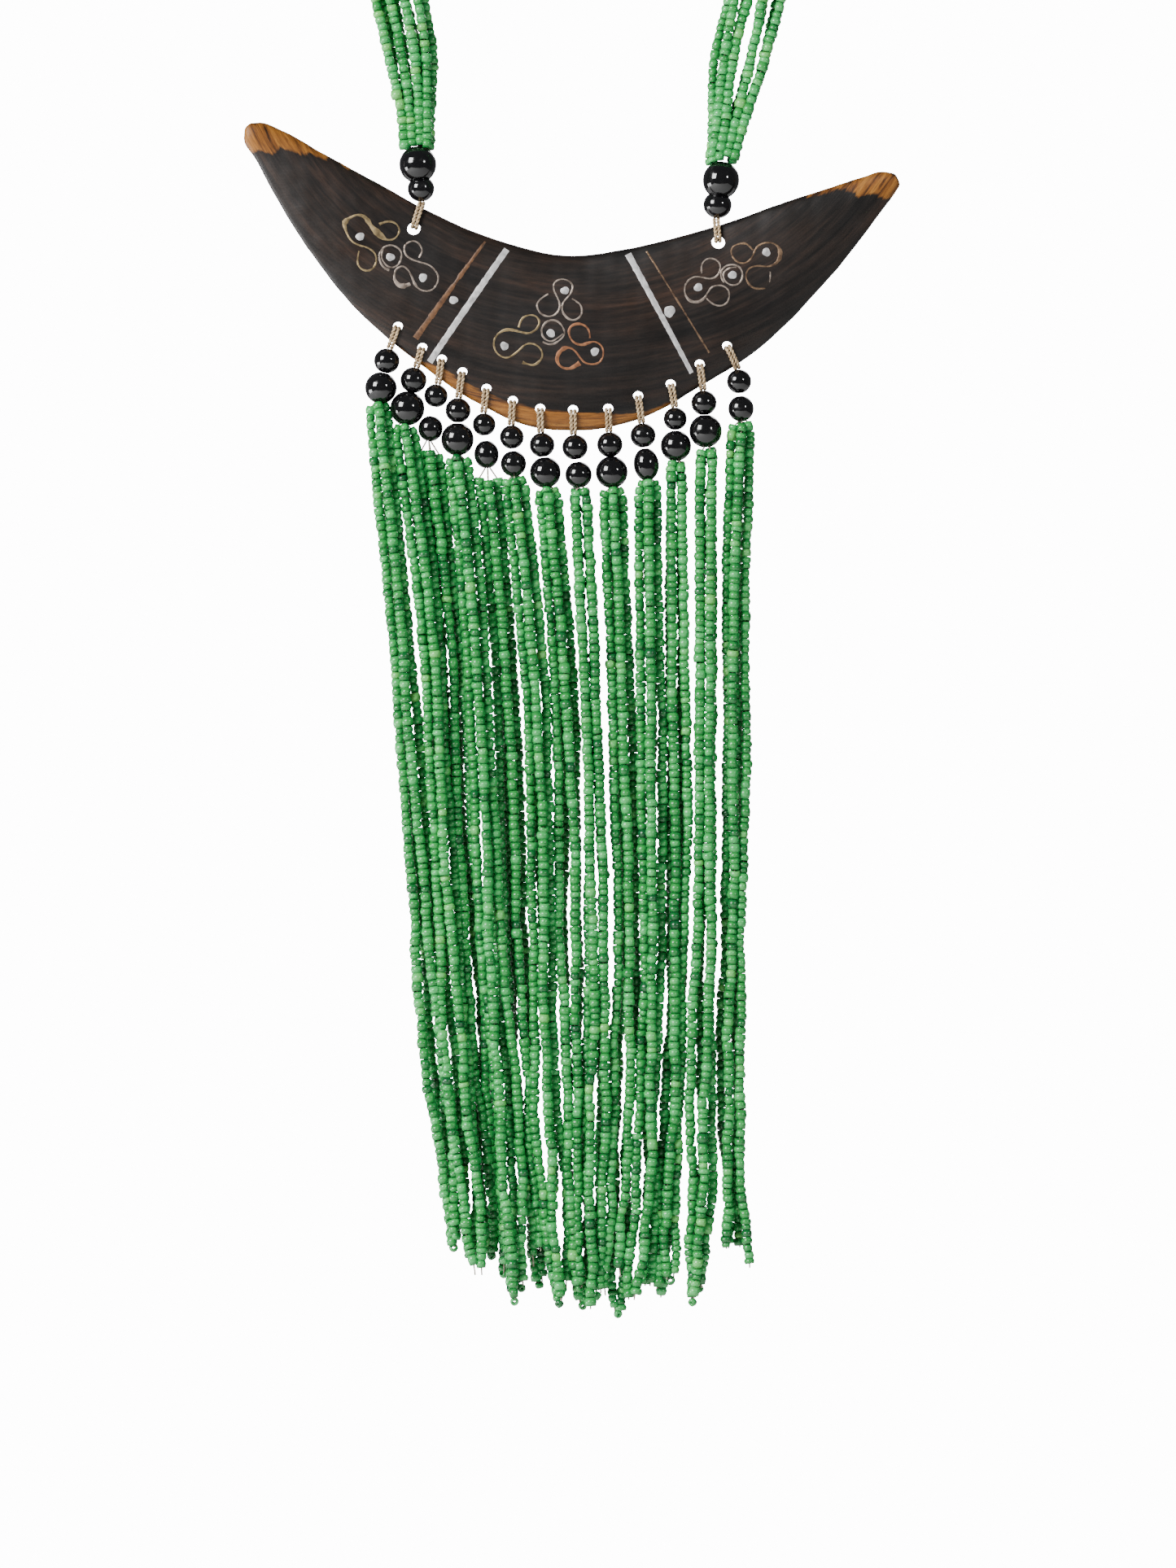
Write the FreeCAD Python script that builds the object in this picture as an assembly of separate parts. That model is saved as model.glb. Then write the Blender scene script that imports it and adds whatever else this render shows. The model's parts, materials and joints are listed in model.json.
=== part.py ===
"""A crescent pendant necklace: a carved blackwood crescent with metal inlay hangs from a neck strap of
beaded strings, and thirteen tassels of seed-bead strings hang from its lower rim.

Units are millimetres. +Z is up, +X is the wearer's left, and -Y faces the viewer. The origin is at the nape,
under the top of the strap, where a neck or a display form carries the necklace.
"""

import FreeCAD
import Part
import math
import os

Y_AXIS = FreeCAD.Vector(0, 1, 0)
Z_AXIS = FreeCAD.Vector(0, 0, 1)

# Wood
WOOD_TIP_THICKNESS = 4.2
WOOD_THICKNESS = 8.4
WOOD_FULL_WIDTH = 54.0
SECTION_ROUNDNESS = 2.2
SECTION_STEPS = 12
RIM_HOLE_DIAMETER = 3.1
STRAP_HOLE_DIAMETER = 4.2

# The crescent's cross-sections from its left horn to its right one: the upper rim, then the lower rim.
CRESCENT_RIMS = [
    ((-97.2, -155.9), (-100.0, -158.3)),
    ((-94.5, -155.8), (-100.0, -161.3)),
    ((-88.3, -158.1), (-96.8, -166.3)),
    ((-76.3, -164.8), (-90.5, -178.3)),
    ((-61.3, -173.0), (-80.5, -194.3)),
    ((-48.3, -180.3), (-67.5, -211.0)),
    ((-34.0, -187.3), (-49.8, -227.0)),
    ((-18.3, -193.0), (-28.5, -241.8)),
    ((-7.0, -195.8), (-12.0, -249.0)),
    ((3.5, -196.5), (4.5, -250.3)),
    ((17.8, -194.5), (22.5, -246.4)),
    ((32.8, -191.0), (40.5, -236.4)),
    ((50.8, -185.6), (57.5, -225.8)),
    ((65.3, -180.5), (74.3, -209.3)),
    ((78.8, -176.0), (86.8, -195.0)),
    ((90.3, -172.3), (94.8, -184.3)),
    ((96.3, -170.8), (99.6, -178.0)),
    ((99.3, -171.3), (101.2, -175.4)),
]

# Inlay: places as (x, z), radii and widths
INLAY_PROUD = 0.12
INLAY_DEPTH = 0.9
PIN_RADIUS = 1.2
BIG_PIN_RADIUS = 1.8
WIRE_WIDTH = 0.45
PINS = [
    (-64.3, -191.0), (-55.0, -197.3), (-45.0, -203.6), (-35.6, -210.5), (-1.5, -207.6), (-5.8, -220.7),
    (-20.0, -224.6), (7.7, -226.3), (60.3, -195.8), (49.9, -202.8), (39.4, -206.6),
]
BIG_PIN = (30.6, -214.0)
WIRE_RINGS = [
    (-55.0, -197.3, 3.75), (-64.3, -188.9, 4.25), (-55.2, -189.3, 3.25), (-62.0, -198.3, 3.25),
    (-44.0, -203.8, 4.15), (-48.1, -195.1, 2.90), (-51.4, -202.9, 2.75),
    (-5.8, -220.7, 3.75), (-2.0, -207.6, 3.25), (-6.6, -212.0, 3.25), (0.8, -213.6, 3.25),
    (-19.8, -224.0, 4.25), (-12.5, -218.0, 3.25), (-11.6, -227.5, 3.50), (7.0, -226.8, 3.50),
    (3.0, -220.8, 3.50), (-0.4, -228.5, 3.50),
    (49.9, -202.8, 3.40), (39.0, -207.0, 4.00), (43.4, -200.8, 3.10), (45.6, -209.0, 3.40),
    (61.0, -196.3, 4.00), (53.0, -196.1, 3.50), (57.8, -203.6, 3.75),
]
# Strips: the upper end, the lower end, and the width at each
SILVER_STRIPS = [
    ((-19.3, -194.8), (-43.0, -229.4), 1.9, 1.9),
    ((17.9, -196.2), (37.4, -232.8), 2.0, 1.3),
]
COPPER_STRIPS = [
    ((-25.9, -192.4), (-47.3, -222.2), 0.8, 1.7),
    ((23.6, -195.4), (42.8, -226.6), 0.8, 0.6),
]

# Beads and twine
BORE_RADIUS = 0.95
BEAD_END_RADIUS = 1.3
CORE_RADIUS = 0.8
CORE_END = 0.1
TWINE_DIAMETER = 0.95
TWINE_TURN_OFFSET = 0.52
TWINE_LEG_OFFSET = 0.5
TWINE_SURFACE_GAP = 0.9
TWINE_BEND = 0.6
TWINE_SAG_IN_HOLE = 0.4
TWINE_INSIDE_RIM = 2.0
TWINE_BELOW_RIM = 0.1
TWINE_RIM_DEPTH = 1.9
LOOP_TO_BEAD_GAP = 0.9

# How much of the shorter run beside a corner its arc takes
REACH_SHARE = 0.45

# Strings of seed beads, drawn as plain tubes
STRING_DIAMETER = 2.7
STRING_PITCH = 2.75
GATHER_HEIGHT = 1.4
GATHER_TOP_RADIUS = 0.8
GATHER_BOTTOM_RADIUS = 2.9
BEAD_TO_GATHER_GAP = 0.5
GATHER_TO_STRING_GAP = 0.2
ROUTE_SHARES = (0.0, 0.19, 0.39, 0.60, 0.81, 1.0)
ROUTE_SWAY_Y = (0.0, 0.7, -0.4, 0.6, -0.5, 0.3)
TIP_RISES = (0.0, 4.0, -2.5, 1.5)

# Tassels from left to right: the rim hole, the small bead (x, z, diameter, height), the large bead likewise,
# the depth that the tassel hangs at, the places along x that its strings pass, and the height of their tips.
TASSELS = [
    ((-52.8, -218.3), (-56.2, -228.9, 7.6, 7.1), (-58.0, -237.2, 9.4, 9.0), 0.0,
     (-58.0, -54.0, -49.7, -45.3, -40.8, -36.0), -499.3),
    ((-45.3, -224.8), (-48.0, -234.8, 7.8, 7.3), (-49.9, -243.5, 10.2, 9.8), 0.0,
     (-49.8, -43.3, -40.6, -37.4, -33.7, -28.8), -506.8),
    ((-39.3, -228.4), (-41.1, -239.6, 7.0, 6.6), (-42.8, -249.7, 7.3, 7.3), 0.4,
     (-42.3, -37.0, -34.3, -30.9, -26.6, -22.2), -507.5),
    ((-33.0, -232.3), (-34.3, -244.1, 7.5, 7.1), (-34.5, -253.0, 9.7, 9.4), 0.0,
     (-34.3, -29.0, -26.5, -23.3, -19.6, -15.8), -514.8),
    ((-25.6, -237.4), (-26.3, -248.4, 6.8, 6.5), (-25.6, -257.6, 7.3, 8.0), 0.5,
     (-25.3, -20.5, -18.9, -16.7, -13.2, -9.9), -511.0),
    ((-17.5, -241.1), (-17.8, -252.3, 7.1, 6.8), (-17.3, -260.5, 7.6, 7.4), 0.0,
     (-17.0, -11.6, -9.3, -7.9, -6.5, -3.5), -515.5),
    ((-9.1, -243.5), (-8.5, -254.7, 7.4, 7.0), (-7.5, -263.2, 9.2, 8.9), 0.0,
     (-7.3, -2.3, -0.5, 0.3, 0.9, 2.5), -517.3),
    ((1.0, -243.9), (1.6, -255.4, 7.6, 7.2), (2.7, -263.9, 7.9, 7.6), 0.0,
     (3.0, 6.0, 7.8, 8.3, 7.5, 8.8), -517.3),
    ((11.8, -243.5), (12.3, -254.6, 7.6, 7.2), (12.9, -263.1, 9.5, 9.2), 0.0,
     (13.3, 15.5, 16.8, 17.0, 16.0, 15.0), -519.8),
    ((21.0, -239.6), (22.5, -251.8, 7.5, 7.0), (23.5, -260.7, 7.5, 9.4), 0.0,
     (23.6, 24.4, 25.5, 25.3, 23.8, 21.3), -514.5),
    ((31.0, -236.0), (32.4, -246.7, 6.9, 6.5), (32.6, -255.0, 9.1, 8.8), 0.0,
     (32.6, 33.0, 33.5, 32.9, 31.5, 30.0), -515.0),
    ((39.9, -229.9), (41.2, -241.8, 7.5, 7.1), (41.7, -250.5, 9.7, 9.4), -0.4,
     (41.6, 41.5, 41.9, 41.4, 40.0, 39.0), -515.0),
    ((48.3, -224.3), (52.0, -235.2, 7.2, 6.9), (52.6, -243.6, 7.6, 7.4), 0.0,
     (52.0, 50.6, 51.0, 50.5, 50.0, 51.3), -505.5),
]

# Neck strap: each side's crescent hole, small bead and large bead, and the line that the eight strings follow
STRAP_SIDES = [
    ((-47.9, -188.3), (-45.7, -176.0, 7.9, 7.2), (-46.8, -167.7, 11.0, 8.8)),
    ((45.6, -192.5), (45.4, -181.0, 8.4, 7.4), (46.6, -172.5, 10.8, 9.0)),
]
STRAP_ROUTE = [
    (-46.9, -161.0), (-48.0, -141.0), (-53.5, -113.0), (-60.5, -86.0), (-60.5, -54.0), (-48.0, -21.0),
    (-20.0, 5.7), (21.0, 5.7), (50.0, -20.0), (64.0, -53.0), (65.0, -87.0), (57.8, -115.0),
    (51.2, -143.0), (46.9, -165.8),
]
STRAP_PITCH = 2.9
STRAP_COLUMNS = (-1.5, -0.5, 0.5, 1.5)
STRAP_ROWS = (-0.5, 0.5)


def front_point(place, y=0.0):
    """A point at (x, z) on the crescent's face, y behind the middle plane."""
    return FreeCAD.Vector(place[0], y, place[1])


def unit(vector):
    """The vector's direction."""
    return FreeCAD.Vector(vector).normalize()


def signed_power(value, power):
    """A power that keeps the value's sign."""
    return math.copysign(abs(value) ** power, value)


def crescent_section(upper, lower, side, extra):
    """Points over one face of the pillow-shaped cross-section, from its upper rim to its lower rim."""
    top = front_point(upper)
    bottom = front_point(lower)
    middle = (top + bottom) * 0.5
    half_width = (top - bottom).Length / 2
    share = min(1.0, 2 * half_width / WOOD_FULL_WIDTH)
    thickness = WOOD_TIP_THICKNESS + (WOOD_THICKNESS - WOOD_TIP_THICKNESS) * share + extra
    across = unit(top - bottom) * half_width
    points = [top]
    for step in range(1, SECTION_STEPS):
        angle = math.pi * step / SECTION_STEPS
        along = signed_power(math.cos(angle), 2 / SECTION_ROUNDNESS)
        depth = math.sin(angle) ** (2 / SECTION_ROUNDNESS)
        points.append(middle + across * along + Y_AXIS * (side * depth * thickness / 2))
    points.append(bottom)
    return points


def crescent_blank(extra=0.0):
    """The crescent with no holes or inlay: a front and a back surface, and a flat cap at each horn's end."""
    faces = []
    for side in (-1, 1):
        surface = Part.BSplineSurface()
        surface.interpolate([crescent_section(upper, lower, side, extra) for upper, lower in CRESCENT_RIMS])
        faces.append(surface.toShape())
    caps = []
    for upper, lower in (CRESCENT_RIMS[0], CRESCENT_RIMS[-1]):
        end = (front_point(upper) + front_point(lower)) * 0.5
        edges = [min(face.Edges, key=lambda edge: (edge.CenterOfMass - end).Length) for face in faces]
        caps.append(Part.Face(Part.Wire(edges)))
    shell = Part.Shell(faces + caps)
    shell.sewShape()
    solid = Part.Solid(shell)
    if solid.Volume < 0:
        solid.reverse()
    return solid


def hole_through(place, diameter):
    """A drill through the wood along Y."""
    start = front_point(place, -WOOD_THICKNESS)
    return Part.makeCylinder(diameter / 2, 2 * WOOD_THICKNESS, start, Y_AXIS)


def disc_prism(place, radius):
    """A round bar that stands out of the crescent's front."""
    start = front_point(place, -WOOD_THICKNESS)
    return Part.makeCylinder(radius, WOOD_THICKNESS, start, Y_AXIS)


def ring_prism(x, z, radius):
    """A round tube with a wall one wire wide."""
    outer = disc_prism((x, z), radius + WIRE_WIDTH / 2)
    return outer.cut(disc_prism((x, z), radius - WIRE_WIDTH / 2))


def strip_prism(upper, lower, upper_width, lower_width):
    """A tapered bar between two places on the crescent's face."""
    top = front_point(upper, -WOOD_THICKNESS)
    bottom = front_point(lower, -WOOD_THICKNESS)
    side = unit(top - bottom).cross(Y_AXIS)
    corners = [
        top + side * (upper_width / 2),
        top - side * (upper_width / 2),
        bottom - side * (lower_width / 2),
        bottom + side * (lower_width / 2),
    ]
    face = Part.Face(Part.makePolygon(corners + corners[:1]))
    return face.extrude(Y_AXIS * WOOD_THICKNESS)


def fused(shapes):
    """One shape made of several."""
    return shapes[0].multiFuse(shapes[1:]).removeSplitter() if len(shapes) > 1 else shapes[0]


def inlay_prisms():
    """The bars that the inlay's pieces are cut from, node by node."""
    pins = [disc_prism(place, PIN_RADIUS) for place in PINS]
    pins.append(disc_prism(BIG_PIN, BIG_PIN_RADIUS))
    rings = [ring_prism(*ring) for ring in WIRE_RINGS]
    return {
        "silver_pins": Part.makeCompound(pins),
        "silver_strips": Part.makeCompound([strip_prism(*strip) for strip in SILVER_STRIPS]),
        "copper_strips": Part.makeCompound([strip_prism(*strip) for strip in COPPER_STRIPS]),
        "wire_scrolls": fused(rings),
    }


def inlaid_crescent():
    """The wood with its pockets and holes, and the pieces in its pockets."""
    raised = crescent_blank(2 * INLAY_PROUD)
    sunk = crescent_blank(-2 * INLAY_DEPTH)
    wood = crescent_blank()
    pieces = {}
    for name, prism in inlay_prisms().items():
        inlay = prism.common(raised).cut(sunk)
        pieces[name] = Part.makeCompound(inlay.Solids)
        wood = wood.cut(pieces[name])
    drills = [hole_through(tassel[0], RIM_HOLE_DIAMETER) for tassel in TASSELS]
    drills += [hole_through(side[0], STRAP_HOLE_DIAMETER) for side in STRAP_SIDES]
    pieces["crescent"] = wood.cut(Part.makeCompound(drills))
    return pieces


def rounded_path(route, reach_limit):
    """Straight runs joined by tangent arcs that start at most reach_limit from each corner."""
    edges = []
    radii = []
    start = route[0]
    for before, corner, after in zip(route, route[1:], route[2:]):
        back = unit(before - corner)
        ahead = unit(after - corner)
        reach = min(REACH_SHARE * min((before - corner).Length, (after - corner).Length), reach_limit)
        turn = math.pi - back.getAngle(ahead)
        radius = reach / math.tan(turn / 2)
        inside = math.hypot(radius, reach) - radius
        arc_start = corner + back * reach
        arc_end = corner + ahead * reach
        middle = corner + unit(back + ahead) * inside
        edges.append(Part.LineSegment(start, arc_start).toShape())
        edges.append(Part.Arc(arc_start, middle, arc_end).toShape())
        radii.append(radius)
        start = arc_end
    edges.append(Part.LineSegment(start, route[-1]).toShape())
    return Part.Wire(edges), radii


def tube(route, diameter, reach_limit=math.inf, label=None):
    """A round tube along a route. With a label, its radii and its volume are printed."""
    path, radii = rounded_path(route, reach_limit)
    circle = Part.makeCircle(diameter / 2, route[0], route[1] - route[0])
    solid = path.makePipeShell([Part.Wire(circle)], True, True)
    if label:
        share = solid.Volume / (math.pi * diameter**2 / 4 * path.Length)
        print(f"{label}: length {path.Length:.0f}, least radius {min(radii):.0f}, volume share {share:.3f}")
    return solid


def bead(centre, axis, diameter, height):
    """A bored bead with small flats at the two ends of its bore."""
    half = height / 2
    corners = [
        FreeCAD.Vector(BORE_RADIUS, 0, -half),
        FreeCAD.Vector(BEAD_END_RADIUS, 0, -half),
        FreeCAD.Vector(diameter / 2, 0, 0),
        FreeCAD.Vector(BEAD_END_RADIUS, 0, half),
        FreeCAD.Vector(BORE_RADIUS, 0, half),
    ]
    side = Part.Arc(corners[1], corners[2], corners[3]).toBSpline()
    edges = [
        Part.makeLine(corners[0], corners[1]),
        side.toShape(),
        Part.makeLine(corners[3], corners[4]),
        Part.makeLine(corners[4], corners[0]),
    ]
    solid = Part.Face(Part.Wire(edges)).revolve(FreeCAD.Vector(), Z_AXIS, 360)
    solid.Placement = FreeCAD.Placement(centre, FreeCAD.Rotation(Z_AXIS, axis))
    return solid


def face_depth(wood, point):
    """How far the wood's surface is from the middle plane at this place."""
    reach = Y_AXIS * WOOD_THICKNESS
    inside = wood.common(Part.makeLine(point - reach, point + reach))
    return max(abs(vertex.Y) for vertex in inside.Vertexes)


def twine_loop(wood, hole, end):
    """Two turns of twine that pass through the hole, round the rim and down to the bead at end."""
    centre = front_point(hole)
    flat_end = front_point((end.x, end.z))
    along = unit(flat_end - centre)
    across = along.cross(Y_AXIS)
    inside = wood.common(Part.makeLine(centre, flat_end))
    rim = max((vertex.Point - centre).Length for vertex in inside.Vertexes)
    front = [end - Y_AXIS * TWINE_LEG_OFFSET]
    rear = [end + Y_AXIS * TWINE_LEG_OFFSET]
    below_rim = centre + along * (rim + TWINE_BELOW_RIM)
    front.append(below_rim - Y_AXIS * TWINE_RIM_DEPTH)
    rear.append(below_rim + Y_AXIS * TWINE_RIM_DEPTH)
    for station in (rim - TWINE_INSIDE_RIM, TWINE_SAG_IN_HOLE):
        point = centre + along * station
        depth = face_depth(wood, point) + TWINE_SURFACE_GAP
        front.append(point - Y_AXIS * depth)
        rear.append(point + Y_AXIS * depth)
    route = front + rear[::-1]
    turns = []
    for side in (-TWINE_TURN_OFFSET, TWINE_TURN_OFFSET):
        turns.append(tube([point + across * side for point in route], TWINE_DIAMETER, TWINE_BEND))
    return Part.makeCompound(turns)


def bead_pair(small, large, depth):
    """A small and a large bead on one straight core, and the core's axis, which runs from small to large."""
    small_centre = front_point(small[:2], depth)
    large_centre = front_point(large[:2], depth)
    axis = unit(large_centre - small_centre)
    small_bead = bead(small_centre, axis, small[2], small[3])
    large_bead = bead(large_centre, axis, large[2], large[3])
    outer_end = small_centre - axis * (small[3] / 2)
    inner_end = large_centre + axis * (large[3] / 2)
    return small_bead, large_bead, axis, outer_end, inner_end


def gathered_core(outer_end, inner_end, direction):
    """The threads inside two beads, and the cone where they spread to the strings."""
    length = (inner_end - outer_end).Length + CORE_END
    core = Part.makeCylinder(CORE_RADIUS, length, outer_end, inner_end - outer_end)
    cone_top = inner_end + direction * BEAD_TO_GATHER_GAP
    cone = Part.makeCone(GATHER_TOP_RADIUS, GATHER_BOTTOM_RADIUS, GATHER_HEIGHT, cone_top, direction)
    return [core, cone]


def tassel_route(xs, depth, top, tip):
    """The line that a tassel's strings follow."""
    route = []
    for x, share, sway in zip(xs, ROUTE_SHARES, ROUTE_SWAY_Y):
        route.append(FreeCAD.Vector(x, depth + sway, top + (tip - top) * share))
    return route


def fringe_strings(xs, depth, top, tip, index):
    """Four strings that hang side by side as a square, each with its own length."""
    strings = []
    corners = [(-0.5, -0.5), (0.5, -0.5), (0.5, 0.5), (-0.5, 0.5)]
    for number, (side, back) in enumerate(corners):
        rise = TIP_RISES[(number + index) % len(TIP_RISES)]
        offset = FreeCAD.Vector(side * STRING_PITCH, back * STRING_PITCH, 0)
        route = [point + offset for point in tassel_route(xs, depth, top, tip)]
        route[-1] = route[-1] + Z_AXIS * rise
        label = f"tassel {index + 1} string {number + 1}"
        strings.append(tube(route, STRING_DIAMETER, label=label))
    return strings


def tassel(wood, index):
    """One tassel's four nodes."""
    hole, small, large, depth, xs, tip = TASSELS[index]
    small_bead, large_bead, axis, outer_end, inner_end = bead_pair(small, large, depth)
    core = gathered_core(outer_end, inner_end, -Z_AXIS)
    top = inner_end.z - BEAD_TO_GATHER_GAP - GATHER_HEIGHT - GATHER_TO_STRING_GAP
    strings = fringe_strings(xs, depth, top, tip, index)
    number = f"{index + 1:02d}"
    return {
        "thread_loop_" + number: twine_loop(wood, hole, outer_end - axis * LOOP_TO_BEAD_GAP),
        "small_bead_" + number: small_bead,
        "large_bead_" + number: large_bead,
        "fringe_strings_" + number: Part.makeCompound(core + strings),
    }


def offset_strap_route(column, row):
    """The strap's line moved sideways in its own plane by column, and back by row."""
    points = [front_point(place, row * STRAP_PITCH) for place in STRAP_ROUTE]
    directions = [unit(after - before) for before, after in zip(points, points[1:])]
    moved = []
    for number, point in enumerate(points):
        arriving = directions[max(number - 1, 0)]
        leaving = directions[min(number, len(directions) - 1)]
        normal = unit(arriving + leaving).cross(Y_AXIS)
        stretch = 1 / math.cos(arriving.getAngle(leaving) / 2)
        moved.append(point + normal * (column * STRAP_PITCH * stretch))
    return moved


def neck_strap(wood):
    """The strap's strings, its four beads, and the twine that ties it to the crescent."""
    strings = []
    for row in STRAP_ROWS:
        for column in STRAP_COLUMNS:
            label = f"strap string {column} {row}"
            strings.append(tube(offset_strap_route(column, row), STRING_DIAMETER, label=label))
    beads = []
    loops = []
    for hole, small, large in STRAP_SIDES:
        small_bead, large_bead, axis, outer_end, inner_end = bead_pair(small, large, 0.0)
        beads += [small_bead, large_bead]
        strings += gathered_core(outer_end, inner_end, axis)
        loops += twine_loop(wood, hole, outer_end - axis * LOOP_TO_BEAD_GAP).Solids
    return {
        "strap_strings": Part.makeCompound(strings),
        "strap_beads": Part.makeCompound(beads),
        "strap_loops": Part.makeCompound(loops),
    }


def main():
    """Write every node."""
    os.makedirs("parts", exist_ok=True)
    nodes = inlaid_crescent()
    plain_wood = crescent_blank()
    nodes.update(neck_strap(plain_wood))
    for index in range(len(TASSELS)):
        nodes.update(tassel(plain_wood, index))
    for name, shape in nodes.items():
        shape.exportStep(f"parts/{name}.step")


main()
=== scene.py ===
# %% [markdown]
# # A crescent necklace, made piece by piece
# The necklace hangs from its own strap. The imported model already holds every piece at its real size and
# place, so this lesson starts by loading it. Each piece that needs a finer shape is then modelled over it,
# and each surface gets its finish. All lengths are in metres.

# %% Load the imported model
import bpy
import json
import math
import numpy as np
from mathutils import Matrix, Vector
from mathutils.bvhtree import BVHTree


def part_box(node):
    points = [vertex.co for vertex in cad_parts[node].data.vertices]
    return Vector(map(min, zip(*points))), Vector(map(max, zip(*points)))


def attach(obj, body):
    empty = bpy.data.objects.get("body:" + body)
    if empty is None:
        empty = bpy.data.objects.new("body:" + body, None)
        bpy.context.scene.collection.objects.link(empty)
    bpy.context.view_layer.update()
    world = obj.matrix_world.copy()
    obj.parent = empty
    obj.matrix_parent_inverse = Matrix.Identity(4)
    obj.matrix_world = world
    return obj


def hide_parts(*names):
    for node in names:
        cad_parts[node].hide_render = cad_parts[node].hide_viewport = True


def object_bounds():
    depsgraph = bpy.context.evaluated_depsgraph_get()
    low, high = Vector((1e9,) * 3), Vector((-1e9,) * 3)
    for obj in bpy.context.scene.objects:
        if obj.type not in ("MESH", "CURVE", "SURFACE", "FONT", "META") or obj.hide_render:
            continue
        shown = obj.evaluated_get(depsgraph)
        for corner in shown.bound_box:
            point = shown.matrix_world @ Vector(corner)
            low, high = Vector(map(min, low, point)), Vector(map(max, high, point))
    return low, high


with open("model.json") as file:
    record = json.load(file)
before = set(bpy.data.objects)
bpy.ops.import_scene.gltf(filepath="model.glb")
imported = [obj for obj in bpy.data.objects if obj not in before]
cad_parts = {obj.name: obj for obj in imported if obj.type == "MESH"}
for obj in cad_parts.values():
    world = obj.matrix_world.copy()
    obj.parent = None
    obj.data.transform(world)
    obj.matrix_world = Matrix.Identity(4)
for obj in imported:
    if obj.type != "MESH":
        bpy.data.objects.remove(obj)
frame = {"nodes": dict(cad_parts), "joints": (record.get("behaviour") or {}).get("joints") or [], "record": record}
cad_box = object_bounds()
record = frame["record"]
nodes = frame["nodes"]
numbers = [f"{count:02d}" for count in range(1, 14)]

# %% [markdown]
# ## Two small habits
# An operator in Blender works on everything that is selected, so each step starts with nothing selected.
# In edit mode the same holds for faces and edges, and they are picked here by their place.

# %% Selecting
def deselect_all():
    """Leave no object selected."""
    bpy.ops.object.select_all(action="DESELECT")


def make_active(piece):
    """Select this piece alone and make it the active one."""
    deselect_all()
    piece.select_set(True)
    bpy.context.view_layer.objects.active = piece


def select_vertices(piece, wanted):
    """In edit mode, select the vertices that wanted(co) picks, and nothing else."""
    bpy.ops.mesh.select_mode(type="VERT")
    bpy.ops.mesh.select_all(action="DESELECT")
    bpy.ops.object.mode_set(mode="OBJECT")
    for vertex in piece.data.vertices:
        vertex.select = bool(wanted(vertex.co))
    bpy.ops.object.mode_set(mode="EDIT")


print("ready to select by place")

# %% [markdown]
# ## The camera
# A long lens a good way off keeps the strings straight and the crescent undistorted. The lens is worked out
# from the width of the view at the necklace's own plane.

# %% Camera
CAMERA_DISTANCE = 2.0
VIEW_WIDTH = 0.36125
VIEW_CENTRE = (0.0056, -0.3589)
SENSOR_WIDTH = 36.0

camera_data = bpy.data.cameras.new("studio_camera")
camera_data.sensor_fit = "HORIZONTAL"
camera_data.sensor_width = SENSOR_WIDTH
camera_data.lens = SENSOR_WIDTH * CAMERA_DISTANCE / VIEW_WIDTH
camera_data.clip_end = 30.0
camera = bpy.data.objects.new("studio_camera", camera_data)
bpy.context.scene.collection.objects.link(camera)
camera.location = (VIEW_CENTRE[0], -CAMERA_DISTANCE, VIEW_CENTRE[1])
camera.rotation_euler = (math.radians(90), 0, 0)
bpy.context.scene.camera = camera
print("lens", round(camera_data.lens, 1), "mm")

# %% [markdown]
# ## The studio
# The necklace hangs from its strap, well above a pale floor. One large soft light from the upper left gives
# each glass bead its window-like highlight, and a small one from the right gives the second highlight. The
# sky fills the shade only a little, so that black glass stays black, and it is seen as plain white.

# %% Floor and lights
FLOOR_BELOW = 0.38
FLOOR_SIZE = 3.0

deselect_all()
bpy.ops.mesh.primitive_grid_add(
    x_subdivisions=4, y_subdivisions=4, size=FLOOR_SIZE, location=(0, 0, cad_box[0][2] - FLOOR_BELOW)
)
floor = bpy.context.active_object
floor.name = "studio_floor"
floor_material = bpy.data.materials.new("pale_floor")
floor_material.use_nodes = True
floor_shader = floor_material.node_tree.nodes["Principled BSDF"]
floor_shader.inputs["Base Color"].default_value = (0.90, 0.90, 0.89, 1)
floor_shader.inputs["Roughness"].default_value = 0.9
floor.data.materials.append(floor_material)


def soft_light(name, place, target, width, height, power):
    """A rectangular softbox at place that shines at target."""
    light_data = bpy.data.lights.new(name, "AREA")
    light_data.shape = "RECTANGLE"
    light_data.size = width
    light_data.size_y = height
    light_data.energy = power
    light = bpy.data.objects.new(name, light_data)
    bpy.context.scene.collection.objects.link(light)
    light.location = place
    light.rotation_euler = (Vector(target) - Vector(place)).to_track_quat("-Z", "Y").to_euler()
    return light


NECKLACE_MIDDLE = (0.0, 0.0, -0.33)
soft_light("window_light", (-1.45, -1.35, 0.60), NECKLACE_MIDDLE, 0.95, 1.05, 122)
soft_light("shoulder_light", (-1.45, -0.05, -1.05), NECKLACE_MIDDLE, 0.9, 1.1, 60)
soft_light("side_light", (1.35, -1.5, 0.35), NECKLACE_MIDDLE, 0.25, 0.34, 15)
soft_light("back_light", (0.6, 1.9, 0.9), NECKLACE_MIDDLE, 1.0, 1.0, 18)

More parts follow.
